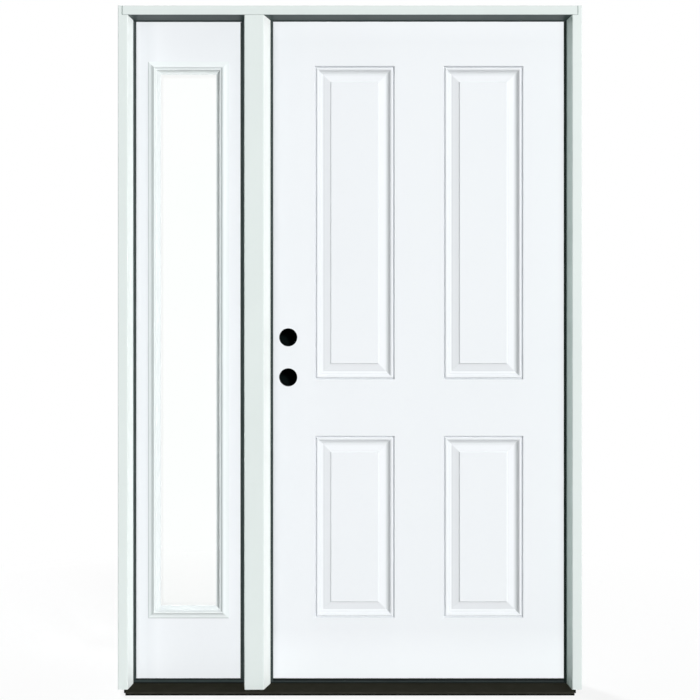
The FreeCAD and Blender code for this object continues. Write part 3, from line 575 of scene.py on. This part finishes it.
def makeLitePlastic():
    # moulded lite frames and their screw plugs
    material, tree, shader, place = newMaterial("litePlastic")
    film = usePaint(tree, place, litePlastic)
    low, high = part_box("lite_frame_exterior")
    middle = (low + high) / 2
    axes = splitAxes(tree, place)
    fromSide = minus(tree, high.x - middle.x, apart(tree, axes["X"], middle.x))
    fromEnd = minus(tree, high.z - middle.z, apart(tree, axes["Z"], middle.z))
    fromEdge = maths(tree, "MINIMUM", fromSide, fromEnd)
    onEnd = maths(tree, "LESS_THAN", fromEnd, fromSide)
    onSide = minus(tree, 1.0, onEnd)
    atHead = maths(tree, "GREATER_THAN", axes["Z"], middle.z)
    atRight = maths(tree, "GREATER_THAN", axes["X"], middle.x)
    head, right = times(tree, onEnd, atHead), times(tree, onSide, atRight)
    members = {"left": minus(tree, onSide, right), "right": right,
               "head": head, "foot": minus(tree, onEnd, head)}
    # outside, soft bands of painted light and shade along the profile of each member
    outside = maths(tree, "LESS_THAN", axes["Y"], leafMiddle)
    blend = litePlastic["blend"]
    color = film["Color"]
    for member, bands in liteBands.items():
        shown = times(tree, members[member], outside)
        for start, end, tone, amount in bands:
            strip = band(tree, fromEdge, softened(start, blend), softened(end, blend), amount)
            color = mixed(tree, times(tree, strip, shown), color, litePlastic[tone])
    # and painted light on the head of the reveal, with painted shade on its foot
    inReveal = times(tree, maths(tree, "GREATER_THAN", fromEdge, litePlastic["revealFrom"]), onEnd)
    reveal = mixed(tree, atHead, litePlastic["footRevealShade"], litePlastic["headRevealLight"])
    color = mixed(tree, inReveal, color, reveal)
    finishShader(tree, shader, litePlastic, color, film["Roughness"], film["Height"])
    return material


clearGlass = {"color": seen(255, 255, 255), "tint": seen(253, 255, 254), "ior": 1.46, "cloud": 3.0,
              "smear": 7.0, "smearDetail": 4.0, "smearStretch": 0.4, "smearSpan": (0.45, 0.8),
              "smearMost": 0.03}


def makeClearGlass():
    material, tree, shader, place = newMaterial("clearGlass")
    cloud = noise(tree, place, clearGlass["cloud"])
    feed(tree, shader.inputs["Base Color"], mixed(tree, cloud, clearGlass["color"], clearGlass["tint"]))
    wiped = stretched(tree, place, (1.0, 1.0, clearGlass["smearStretch"]))
    smear = noise(tree, wiped, clearGlass["smear"], clearGlass["smearDetail"])
    feed(tree, shader.inputs["Roughness"], ranged(tree, smear, *clearGlass["smearSpan"], 0.0,
                                                  clearGlass["smearMost"]))
    shader.inputs["Transmission Weight"].default_value = 1.0
    shader.inputs["IOR"].default_value = clearGlass["ior"]
    return material


edgeTimber = {"light": seen(204, 177, 135), "dark": seen(168, 127, 82), "rings": 55.0, "block": 0.44,
              "finger": 0.012, "teeth": 150.0, "seam": seen(120, 84, 50), "seamStrength": 0.6, "gloss": 0.62,
              "ringShare": 0.5, "poreShare": 0.3, "blockSpread": 0.2, "poreGloss": 0.2,
              "bump": (0.25, 0.0003)}


def makeEdgeTimber(name, turned):
    # bare finger-jointed pine at the edges of the leaf and of the sidelight
    material, tree, shader, place = newMaterial(name)
    along = turnedAxes(tree, splitAxes(tree, place)) if turned else place
    grain, joint = usePine(tree, along, edgeTimber)
    tone = plus(tree, times(tree, grain["Rings"], edgeTimber["ringShare"]),
                times(tree, grain["Pores"], edgeTimber["poreShare"]))
    spread = edgeTimber["blockSpread"]
    tone = maths(tree, "ADD", tone, ranged(tree, joint["Tone"], 0.0, 1.0, -spread, spread), clamp=True)
    color = mixed(tree, tone, edgeTimber["light"], edgeTimber["dark"])
    color = mixed(tree, times(tree, joint["Line"], edgeTimber["seamStrength"]), color, edgeTimber["seam"])
    # painted shade: dark inside the bores
    bored = useGroup(tree, boreShade, Vector=place, Color=color, Sealer=lockBore["boreShadeTone"])
    rough = plus(tree, edgeTimber["gloss"], times(tree, grain["Pores"], edgeTimber["poreGloss"]))
    finishShader(tree, shader, edgeTimber, bored["Color"], maths(tree, "MAXIMUM", rough, bored["Mask"]),
                 grain["Pores"])
    return material


coreFoam = {"light": seen(235, 217, 164), "dark": seen(203, 177, 116), "cell": 420.0, "gloss": 0.9,
            "bump": (0.4, 0.0006)}


def makeCoreFoam():
    material, tree, shader, place = newMaterial("coreFoam")
    cells = addNode(tree, "ShaderNodeTexVoronoi")
    fill(tree, cells, {"Vector": place, "Scale": coreFoam["cell"]})
    depth = cells.outputs["Distance"]
    color = mixed(tree, depth, coreFoam["light"], coreFoam["dark"])
    finishShader(tree, shader, coreFoam, color, coreFoam["gloss"], depth)
    return material


sealRubber = {"color": seen(43, 51, 50), "bloom": seen(59, 68, 67), "pebble": 900.0, "gloss": 0.62,
              "dust": seen(120, 122, 118), "dustAmount": 0.15, "ior": 1.25, "bump": (0.12, 0.0003)}
# painted shade: a darker copy of the seal rubber, for the seal on the hinge side
hingeSealShadeRubber = {"color": seen(17, 27, 24), "bloom": seen(27, 38, 35), "pebble": 900.0, "gloss": 0.62,
                   "dust": seen(120, 122, 118), "dustAmount": 0.08, "ior": 1.15, "bump": (0.12, 0.0003)}
capPlastic = {"color": seen(46, 54, 54), "bloom": seen(56, 64, 64), "pebble": 700.0, "gloss": 0.55,
              "dust": seen(120, 118, 110), "dustAmount": 0.03, "ior": 1.10, "bump": (0.15, 0.0003),
              "line": seen(14, 18, 18), "lineAmount": 0.85, "footShadeLine": 0.0150, "topShadeLine": 0.0224,
              "backShadeLine": 0.080}
sillPlastic = {"color": seen(23, 24, 22), "bloom": seen(32, 33, 31), "pebble": 700.0, "gloss": 0.55,
               "dust": seen(120, 118, 110), "dustAmount": 0.02, "ior": 1.04, "bump": (0.15, 0.0003)}
# painted shade: near-black covers behind the lock bores, so the bores read as deep shade
coverShadePlastic = {"color": seen(8, 14, 14), "bloom": seen(12, 18, 18), "pebble": 800.0, "gloss": 0.7,
                "dust": seen(40, 40, 39), "dustAmount": 0.05, "ior": 1.04, "bump": (0.12, 0.0003)}


def makeMoulded(name, finish):
    material, tree, shader, place = newMaterial(name)
    skin = useGroup(tree, mouldedGrain, Vector=place, Color=finish["color"], Bloom=finish["bloom"],
                    Pebble=finish["pebble"], Gloss=finish["gloss"])
    color = useDust(tree, place, skin["Color"], finish)
    if "line" in finish:
        # painted shade: dark lines along the foot where the cap meets the deck, along the top under the
        # sidelight's panel and along the back under the leaf
        axes = splitAxes(tree, place)
        capShade = maths(tree, "LESS_THAN", axes["Z"], finish["footShadeLine"])
        for axis, line in (("Z", finish["topShadeLine"]), ("Y", finish["backShadeLine"])):
            capShade = maths(tree, "MAXIMUM", capShade, maths(tree, "GREATER_THAN", axes[axis], line))
        color = mixed(tree, times(tree, capShade, finish["lineAmount"]), color, finish["line"])
    finishShader(tree, shader, finish, color, skin["Roughness"], skin["Height"])
    return material


sillMetal = {"color": seen(33, 33, 26), "worn": seen(40, 39, 32), "contrast": 0.55, "gloss": 0.5, "ior": 1.03,
             "bump": (0.08, 0.0002), "dust": seen(130, 126, 116), "dustAmount": 0.03,
             "wearAndHighlight": seen(59, 58, 53), "nose": (0.001, 0.006), "scuff": 35.0, "scuffDetail": 6.0,
             "scuffRoughness": 0.7, "scuffSpan": (0.4, 0.7), "scuffAmount": (0.35, 0.75),
             "footShade": seen(12, 12, 10), "footFrom": 0.0022, "footTo": 0.0028}


def makeSillMetal():
    # dark anodised deck: drawn lines along its length, lighter along the nose, partly rubbed wear and partly
    # a painted highlight
    material, tree, shader, place = newMaterial("sillMetal")
    metal = useMetal(tree, place, sillMetal)
    color = useDust(tree, place, metal["Color"], sillMetal)
    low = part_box("sill_deck")[0]
    axes = splitAxes(tree, place)
    # painted highlight and wear: a lighter line along the nose, scuffed unevenly
    near, far = sillMetal["nose"]
    noseLine = ranged(tree, axes["Y"], low.y + near, low.y + far, 1.0, 0.0)
    cloud = noise(tree, place, sillMetal["scuff"], sillMetal["scuffDetail"], sillMetal["scuffRoughness"])
    scuff = ranged(tree, cloud, *sillMetal["scuffSpan"], *sillMetal["scuffAmount"])
    color = mixed(tree, times(tree, noseLine, scuff), color, sillMetal["wearAndHighlight"])
    # painted shade: the nose's lower edge is painted dark
    foot = ranged(tree, axes["Z"], low.z + sillMetal["footFrom"], low.z + sillMetal["footTo"], 1.0, 0.0)
    color = mixed(tree, foot, color, sillMetal["footShade"])
    finishShader(tree, shader, sillMetal, color, metal["Roughness"], metal["Height"])
    return material


hingeSteel = {"color": seen(196, 193, 186), "worn": seen(170, 166, 158), "contrast": 0.6, "gloss": 0.30,
              "stretch": (1.0, 1.0, 1.0), "bump": (0.06, 0.0002)}
spacerMetal = {"color": seen(205, 207, 209), "worn": seen(184, 186, 188), "contrast": 0.5, "gloss": 0.34,
               "stretch": (1.0, 1.0, 1.0), "bump": (0.06, 0.0002)}
screwSteel = {"color": seen(188, 186, 180), "worn": seen(150, 147, 141), "contrast": 0.6, "gloss": 0.28,
              "stretch": (8.0, 1.0, 1.0), "bump": (0.06, 0.0002)}
capScrewSteel = {"color": seen(26, 27, 26), "worn": seen(34, 34, 33), "contrast": 0.6, "gloss": 0.45,
                 "stretch": (8.0, 1.0, 1.0), "bump": (0.06, 0.0002)}


def makeBareMetal(name, finish):
    material, tree, shader, place = newMaterial(name)
    metal = useMetal(tree, stretched(tree, place, finish["stretch"]), finish)
    finishShader(tree, shader, finish, metal["Color"], metal["Roughness"], metal["Height"])
    shader.inputs["Metallic"].default_value = 1.0
    return material


leftJambPaint = makeFramePaint("framePaintLeftJamb", frameCoats["left"], turned=False)
mullionPaint = makeFramePaint("framePaintMullion", frameCoats["mullion"], turned=False)
hingeJambPaint = makeFramePaint("framePaintHingeJamb", frameCoats["hinge"], turned=False)
headPaint = makeFramePaint("framePaintHead", frameCoats["head"], turned=True)
skinPaint = makePanelPaint()
litePlasticFinish = makeLitePlastic()
glassFinish = makeClearGlass()
uprightTimber = makeEdgeTimber("edgeTimberUpright", turned=False)
railTimber = makeEdgeTimber("edgeTimberRail", turned=True)
foamFinish = makeCoreFoam()
rubberFinish = makeMoulded("sealRubber", sealRubber)
hingeSealFinish = makeMoulded("hingeSealShadeRubber", hingeSealShadeRubber)
capFinish = makeMoulded("capPlastic", capPlastic)
sillPlasticFinish = makeMoulded("sillPlastic", sillPlastic)
coverFinish = makeMoulded("coverShadePlastic", coverShadePlastic)
sillMetalFinish = makeSillMetal()
hingeFinish = makeBareMetal("hingeSteel", hingeSteel)
spacerFinish = makeBareMetal("spacerMetal", spacerMetal)
screwFinish = makeBareMetal("screwSteel", screwSteel)
capScrewFinish = makeBareMetal("capScrewSteel", capScrewSteel)

dress(leftJambPaint, "left_jamb")
dress(mullionPaint, "mullion_post")
dress(hingeJambPaint, "hinge_jamb")
dress(headPaint, "head_jamb")
dress(skinPaint, "leaf_exterior_skin", "leaf_interior_skin", "sidelight_exterior_skin",
      "sidelight_interior_skin")
dress(litePlasticFinish, "lite_frame_exterior", "lite_frame_interior")
dress(glassFinish, "glass_exterior_pane", "glass_interior_pane")
dress(spacerFinish, "glass_spacer")
dress(uprightTimber, "leaf_lock_stile", "leaf_hinge_stile", "leaf_lock_block", "sidelight_left_stile",
      "sidelight_right_stile")
dress(railTimber, "leaf_top_rail", "leaf_bottom_rail", "sidelight_top_rail", "sidelight_bottom_rail")
dress(foamFinish, "leaf_foam_core")
dress(rubberFinish, "latch_side_seal", "door_head_seal", "sidelight_left_gasket", "sidelight_right_gasket",
      "sidelight_head_gasket", "door_sweep")
dress(hingeSealFinish, "hinge_side_seal")
dress(sillMetalFinish, "sill_deck")
dress(sillPlasticFinish, "sill_base")
dress(capFinish, "door_threshold_cap", "sidelight_threshold_cap")
dress(coverFinish, "bore_covers")
for hinge in hingeNames:
    dress(hingeFinish, f"{hinge}_hinge_frame_plate", f"{hinge}_hinge_leaf_plate", f"{hinge}_hinge_pin")
print("finishes on all CAD nodes")


# new pieces, modelled once and copied to their places

modelling = {"squareOn": 0.99, "smoothAngle": math.radians(35)}


def deselectAll():
    if bpy.context.object and bpy.context.object.mode != "OBJECT":
        bpy.ops.object.mode_set(mode="OBJECT")
    bpy.ops.object.select_all(action="DESELECT")


def pickFaces(piece, way):
    # in edit mode: select only the faces that look that way
    mesh = bmesh.from_edit_mesh(piece.data)
    bpy.ops.mesh.select_mode(type="FACE")
    for face in mesh.faces:
        face.select_set(face.normal.dot(Vector(way)) > modelling["squareOn"])
    mesh.select_flush_mode()
    bmesh.update_edit_mesh(piece.data)


def pickOnly(*pieces):
    deselectAll()
    for piece in pieces:
        piece.select_set(True)
    bpy.context.view_layer.objects.active = pieces[-1]


def settle(piece):
    # its place goes into its mesh
    pickOnly(piece)
    bpy.ops.object.transform_apply(location=True, rotation=True, scale=True)


def addDisc(name, size, proud):
    # a round blank that stands proud of z = 0 and is sunk below it
    deselectAll()
    bpy.ops.mesh.primitive_cylinder_add(vertices=size["sides"], radius=size["radius"],
                                        depth=proud + size["sunk"],
                                        location=(0, 0, (proud - size["sunk"]) / 2))
    disc = bpy.context.object
    disc.name = name
    bpy.ops.object.transform_apply(location=True, rotation=False, scale=False)
    return disc


def copyTo(pattern, location, rotation):
    pickOnly(pattern)
    bpy.ops.object.duplicate(linked=False)
    piece = bpy.context.object
    piece.location = location
    piece.rotation_euler = rotation
    settle(piece)
    return piece


def joinAs(name, pieces, material, body):
    pickOnly(*pieces)
    if len(pieces) > 1:
        bpy.ops.object.join()
    piece = bpy.context.object
    piece.name = name
    piece.data.name = name
    piece.data.materials.clear()
    piece.data.materials.append(material)
    bpy.ops.object.shade_smooth_by_angle(angle=modelling["smoothAngle"])
    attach(piece, body)
    return piece


def makeCrossHead(name, size):
    # a crowned screw head on z = 0 with a cross recess
    head = addDisc(name, size, size["rim"])
    bpy.ops.object.mode_set(mode="EDIT")
    pickFaces(head, (0, 0, 1))
    for step, lift in zip(size["crownSteps"], size["crownLifts"]):
        bpy.ops.mesh.inset(thickness=step)
        bpy.ops.transform.translate(value=(0, 0, lift))
    bpy.ops.object.mode_set(mode="OBJECT")
    top = size["rim"] + sum(size["crownLifts"])
    for turn in (0, math.pi / 2):
        bpy.ops.mesh.primitive_cube_add(size=1, location=(0, 0, top), rotation=(0, 0, turn))
        bar = bpy.context.object
        bar.scale = (size["slotLength"], size["slotWidth"], size["slotDepth"] * 2)
        bpy.ops.object.transform_apply(location=True, rotation=True, scale=True)
        pickOnly(head)
        cut = head.modifiers.new("recess", "BOOLEAN")
        cut.operation = "DIFFERENCE"
        cut.solver = "EXACT"
        cut.object = bar
        bpy.ops.object.modifier_apply(modifier=cut.name)
        bpy.data.objects.remove(bar)
    return head


hingeScrew = {"sides": 28, "radius": 0.0042, "rim": 0.0004, "sunk": 0.0002,
              "crownSteps": (0.0005, 0.0012, 0.0012), "crownLifts": (0.0003, 0.0003, 0.0001),
              "slotLength": 0.0046, "slotWidth": 0.0010, "slotDepth": 0.0009, "turnStep": 0.4,
              "heights": (0.12, 0.37, 0.63, 0.88), "depths": (0.34, 0.68)}

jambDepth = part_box("left_jamb")[1].y
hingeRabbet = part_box("door_threshold_cap")[1].x
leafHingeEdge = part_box("leaf_exterior_skin")[1].x
plateFaces = {"frame": (hingeRabbet, -math.pi / 2, "frame"),
              "leaf": (leafHingeEdge, math.pi / 2, "door_leaf")}
screwPattern = makeCrossHead("screwPattern", hingeScrew)
for hinge in hingeNames:
    framePlateLow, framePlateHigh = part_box(f"{hinge}_hinge_frame_plate")
    plateHeight = framePlateHigh.z - framePlateLow.z
    for side, (faceX, turn, body) in plateFaces.items():
        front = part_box(f"{hinge}_hinge_{side}_plate")[0].y
        screws = []
        for count, height in enumerate(hingeScrew["heights"]):
            depth = hingeScrew["depths"][count % 2]
            spot = (faceX, front + depth * (jambDepth - front), framePlateLow.z + height * plateHeight)
            screws.append(copyTo(screwPattern, spot, (hingeScrew["turnStep"] * count, turn, 0)))
        joinAs(f"{hinge}_hinge_{side}_screws", screws, screwFinish, body)
print("hinge screws placed")

capScrew = {"sides": 28, "radius": 0.0045, "rim": 0.0003, "sunk": 0.0003, "crownSteps": (0.0005, 0.0014),
            "crownLifts": (0.0002, 0.0001), "slotLength": 0.0052, "slotWidth": 0.0012, "slotDepth": 0.0005,
            "turnStep": 0.7, "endMargin": 0.07, "count": 6, "across": 0.5}

capLow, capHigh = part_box("door_threshold_cap")
capPattern = makeCrossHead("capScrewPattern", capScrew)
capScrews = []
for count in range(capScrew["count"]):
    share = count / (capScrew["count"] - 1)
    x = capLow.x + capScrew["endMargin"] + share * (capHigh.x - capLow.x - 2 * capScrew["endMargin"])
    y = capLow.y + capScrew["across"] * (capHigh.y - capLow.y)
    capScrews.append(copyTo(capPattern, (x, y, capHigh.z), (0, 0, capScrew["turnStep"] * count)))
joinAs("threshold_cap_screws", capScrews, capScrewFinish, "frame")
print("threshold screws placed")

gasketLip = {"reach": 0.0042, "lap": 0.0020, "thickness": 0.0032, "rounding": 0.0014, "segments": 3}


def makeGasketLip():
    # the sidelight's gasket beside the mullion has a soft lip that lies on the panel
    low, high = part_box("sidelight_right_gasket")
    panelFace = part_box("sidelight_exterior_skin")[0].y
    left, right = low.x - gasketLip["reach"], low.x + gasketLip["lap"]
    middle = ((left + right) / 2, panelFace - gasketLip["thickness"] / 2, (low.z + high.z) / 2)
    deselectAll()
    bpy.ops.mesh.primitive_cube_add(size=1, location=middle)
    lip = bpy.context.object
    lip.scale = (right - left, gasketLip["thickness"], high.z - low.z)
    settle(lip)
    bpy.ops.object.mode_set(mode="EDIT")
    pickFaces(lip, (0, -1, 0))
    bpy.ops.mesh.bevel(offset=gasketLip["rounding"], segments=gasketLip["segments"], affect="EDGES")
    bpy.ops.object.mode_set(mode="OBJECT")
    joinAs("sidelight_gasket_lip", [lip], rubberFinish, "frame")


makeGasketLip()
print("gasket lip placed")

litePlug = {"sides": 24, "radius": 0.0040, "height": 0.0009, "sunk": 0.0006, "bevel": 0.0004, "segments": 3,
            "dimple": 0.0010, "dimpleDepth": 0.0002, "fromEdge": 0.01040, "proud": 0.00424,
            "slope": math.atan2(8.5, 19.0), "perSide": 6, "perEnd": 2}


def makePlugPattern():
    # a low round plug with a softened rim and a shallow dimple
    plug = addDisc("plugPattern", litePlug, litePlug["height"])
    bpy.ops.object.mode_set(mode="EDIT")
    pickFaces(plug, (0, 0, 1))
    bpy.ops.mesh.bevel(offset=litePlug["bevel"], segments=litePlug["segments"], affect="EDGES")
    pickFaces(plug, (0, 0, 1))
    bpy.ops.mesh.inset(thickness=litePlug["dimple"])
    bpy.ops.mesh.inset(thickness=litePlug["bevel"])
    bpy.ops.transform.translate(value=(0, 0, -litePlug["dimpleDepth"]))
    bpy.ops.object.mode_set(mode="OBJECT")
    return plug


liteLow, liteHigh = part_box("lite_frame_interior")
plugPattern = makePlugPattern()
plugs = []
plugY = jambDepth + litePlug["proud"]
for count in range(litePlug["perSide"]):
    z = liteLow.z + (count + 0.5) / litePlug["perSide"] * (liteHigh.z - liteLow.z)
    for x, lean in ((liteLow.x + litePlug["fromEdge"], -1), (liteHigh.x - litePlug["fromEdge"], 1)):
        plugs.append(copyTo(plugPattern, (x, plugY, z), (-math.pi / 2, 0, -lean * litePlug["slope"])))
for count in range(litePlug["perEnd"]):
    x = liteLow.x + (count + 1) / (litePlug["perEnd"] + 1) * (liteHigh.x - liteLow.x)
    for z, lean in ((liteLow.z + litePlug["fromEdge"], -1), (liteHigh.z - litePlug["fromEdge"], 1)):
        plugs.append(copyTo(plugPattern, (x, plugY, z), (-math.pi / 2 + lean * litePlug["slope"], 0, 0)))
joinAs("lite_screw_plugs", plugs, litePlasticFinish, "frame")
for pattern in (screwPattern, capPattern, plugPattern):
    bpy.data.objects.remove(pattern)
print("lite plugs placed")


# stage: pale floor, white surround, soft light from the upper right

studio = {"floorSize": 40.0, "floorColor": seen(236, 236, 236), "floorShade": seen(232, 232, 232),
          "floorCloud": 5.0, "whiteShare": 0.80, "whiteFrom": 0.7, "whiteAt": 2.6,
          "bounceFront": seen(156, 156, 156), "bounceBehind": seen(246, 246, 246), "bounceSpan": (0.0, 0.3),
          "ambient": 0.148, "ambientColor": (0.87, 1.0, 0.985, 1.0), "lampDistance": 4.0}


def seenRay(tree):
    # 1 for rays that show the surround itself
    path = addNode(tree, "ShaderNodeLightPath").outputs
    direct = maths(tree, "MAXIMUM", path["Is Camera Ray"], path["Is Glossy Ray"])
    return maths(tree, "MAXIMUM", direct, path["Is Transmission Ray"])


def mixShaders(tree, factor, first, second):
    node = addNode(tree, "ShaderNodeMixShader")
    for socket, source in zip(node.inputs, (factor, first.outputs[0], second.outputs[0])):
        feed(tree, socket, source)
    return node


def makeFloor():
    deselectAll()
    bpy.ops.mesh.primitive_plane_add(size=studio["floorSize"], location=(0, 0, 0))
    floor = bpy.context.object
    floor.name = "floor"
    material, tree, shader, place = newMaterial("floorPaint")
    tree.nodes.remove(shader)
    # what is seen: pale paint that turns plain white further out
    shown = addNode(tree, "ShaderNodeBsdfDiffuse")
    cloud = noise(tree, place, studio["floorCloud"])
    feed(tree, shown.inputs["Color"], mixed(tree, cloud, studio["floorColor"], studio["floorShade"]))
    away = addNode(tree, "ShaderNodeVectorMath", operation="LENGTH")
    feed(tree, away.inputs[0], place)
    whiteness = ranged(tree, away.outputs["Value"], studio["whiteFrom"], studio["whiteAt"],
                       studio["whiteShare"], 1.0)
    lifted = mixShaders(tree, whiteness, shown, addNode(tree, "ShaderNodeEmission"))
    # what it throws back on the object
    bounce = addNode(tree, "ShaderNodeBsdfDiffuse")
    behind = ranged(tree, splitAxes(tree, place)["Y"], *studio["bounceSpan"], 0.0, 1.0)
    feed(tree, bounce.inputs["Color"], mixed(tree, behind, studio["bounceFront"], studio["bounceBehind"]))
    either = mixShaders(tree, seenRay(tree), bounce, lifted)
    tree.links.new(either.outputs[0], tree.nodes["Material Output"].inputs["Surface"])
    floor.data.materials.append(material)


def makeSurround():
    world = bpy.data.worlds.new("surround")
    world.use_nodes = True
    bpy.context.scene.world = world
    tree = world.node_tree
    ambient = tree.nodes["Background"]
    fill(tree, ambient, {"Color": studio["ambientColor"], "Strength": studio["ambient"]})
    white = addNode(tree, "ShaderNodeBackground")
    white.inputs["Color"].default_value = (1.0, 1.0, 1.0, 1.0)
    either = mixShaders(tree, seenRay(tree), ambient, white)
    tree.links.new(either.outputs[0], tree.nodes["World Output"].inputs["Surface"])


# in front, the frame throws no hard shade on the panels: only their own mouldings do
frontCasters = ("leaf_exterior_skin", "leaf_interior_skin", "lite_frame_exterior", "lite_frame_interior")
# behind, everything but the glass does
backCasters = tuple(name for name in cadNodes if not name.startswith("glass"))
lamps = {
    "keySun": {"toward": (0.467, -0.806, 0.363), "strength": 3.68, "softness": 8.0, "casters": frontCasters},
    "fillSun": {"toward": (0.0, -0.80, -0.60), "strength": 0.55, "softness": 60.0, "casters": frontCasters},
    "backSun": {"toward": (-0.468, 0.749, 0.469), "strength": 3.0, "softness": 12.0, "casters": backCasters},
}


def makeLamp(name, lamp):
    light = bpy.data.lights.new(name, "SUN")
    light.energy = lamp["strength"]
    light.angle = math.radians(lamp["softness"])
    holder = bpy.data.objects.new(name, light)
    bpy.context.scene.collection.objects.link(holder)
    casters = bpy.data.collections.new(f"{name}Casters")
    for caster in lamp["casters"]:
        casters.objects.link(cadNodes[caster])
    holder.light_linking.blocker_collection = casters
    toward = Vector(lamp["toward"])
    holder.location = toward * studio["lampDistance"]
    holder.rotation_euler = toward.to_track_quat("Z", "Y").to_euler()


photoCamera = {"place": (0.0001, -3.5, 1.0123), "lens": 61.0, "sensor": 36.0}


def makeCamera():
    data = bpy.data.cameras.new("photoCamera")
    data.lens = photoCamera["lens"]
    data.sensor_width = photoCamera["sensor"]
    camera = bpy.data.objects.new("photoCamera", data)
    bpy.context.scene.collection.objects.link(camera)
    camera.location = photoCamera["place"]
    camera.rotation_euler = (math.pi / 2, 0, 0)
    bpy.context.scene.camera = camera


makeFloor()
makeSurround()
for name, lamp in lamps.items():
    makeLamp(name, lamp)
makeCamera()
bpy.context.scene.view_settings.view_transform = "Standard"
print("stage, lamps and camera set")
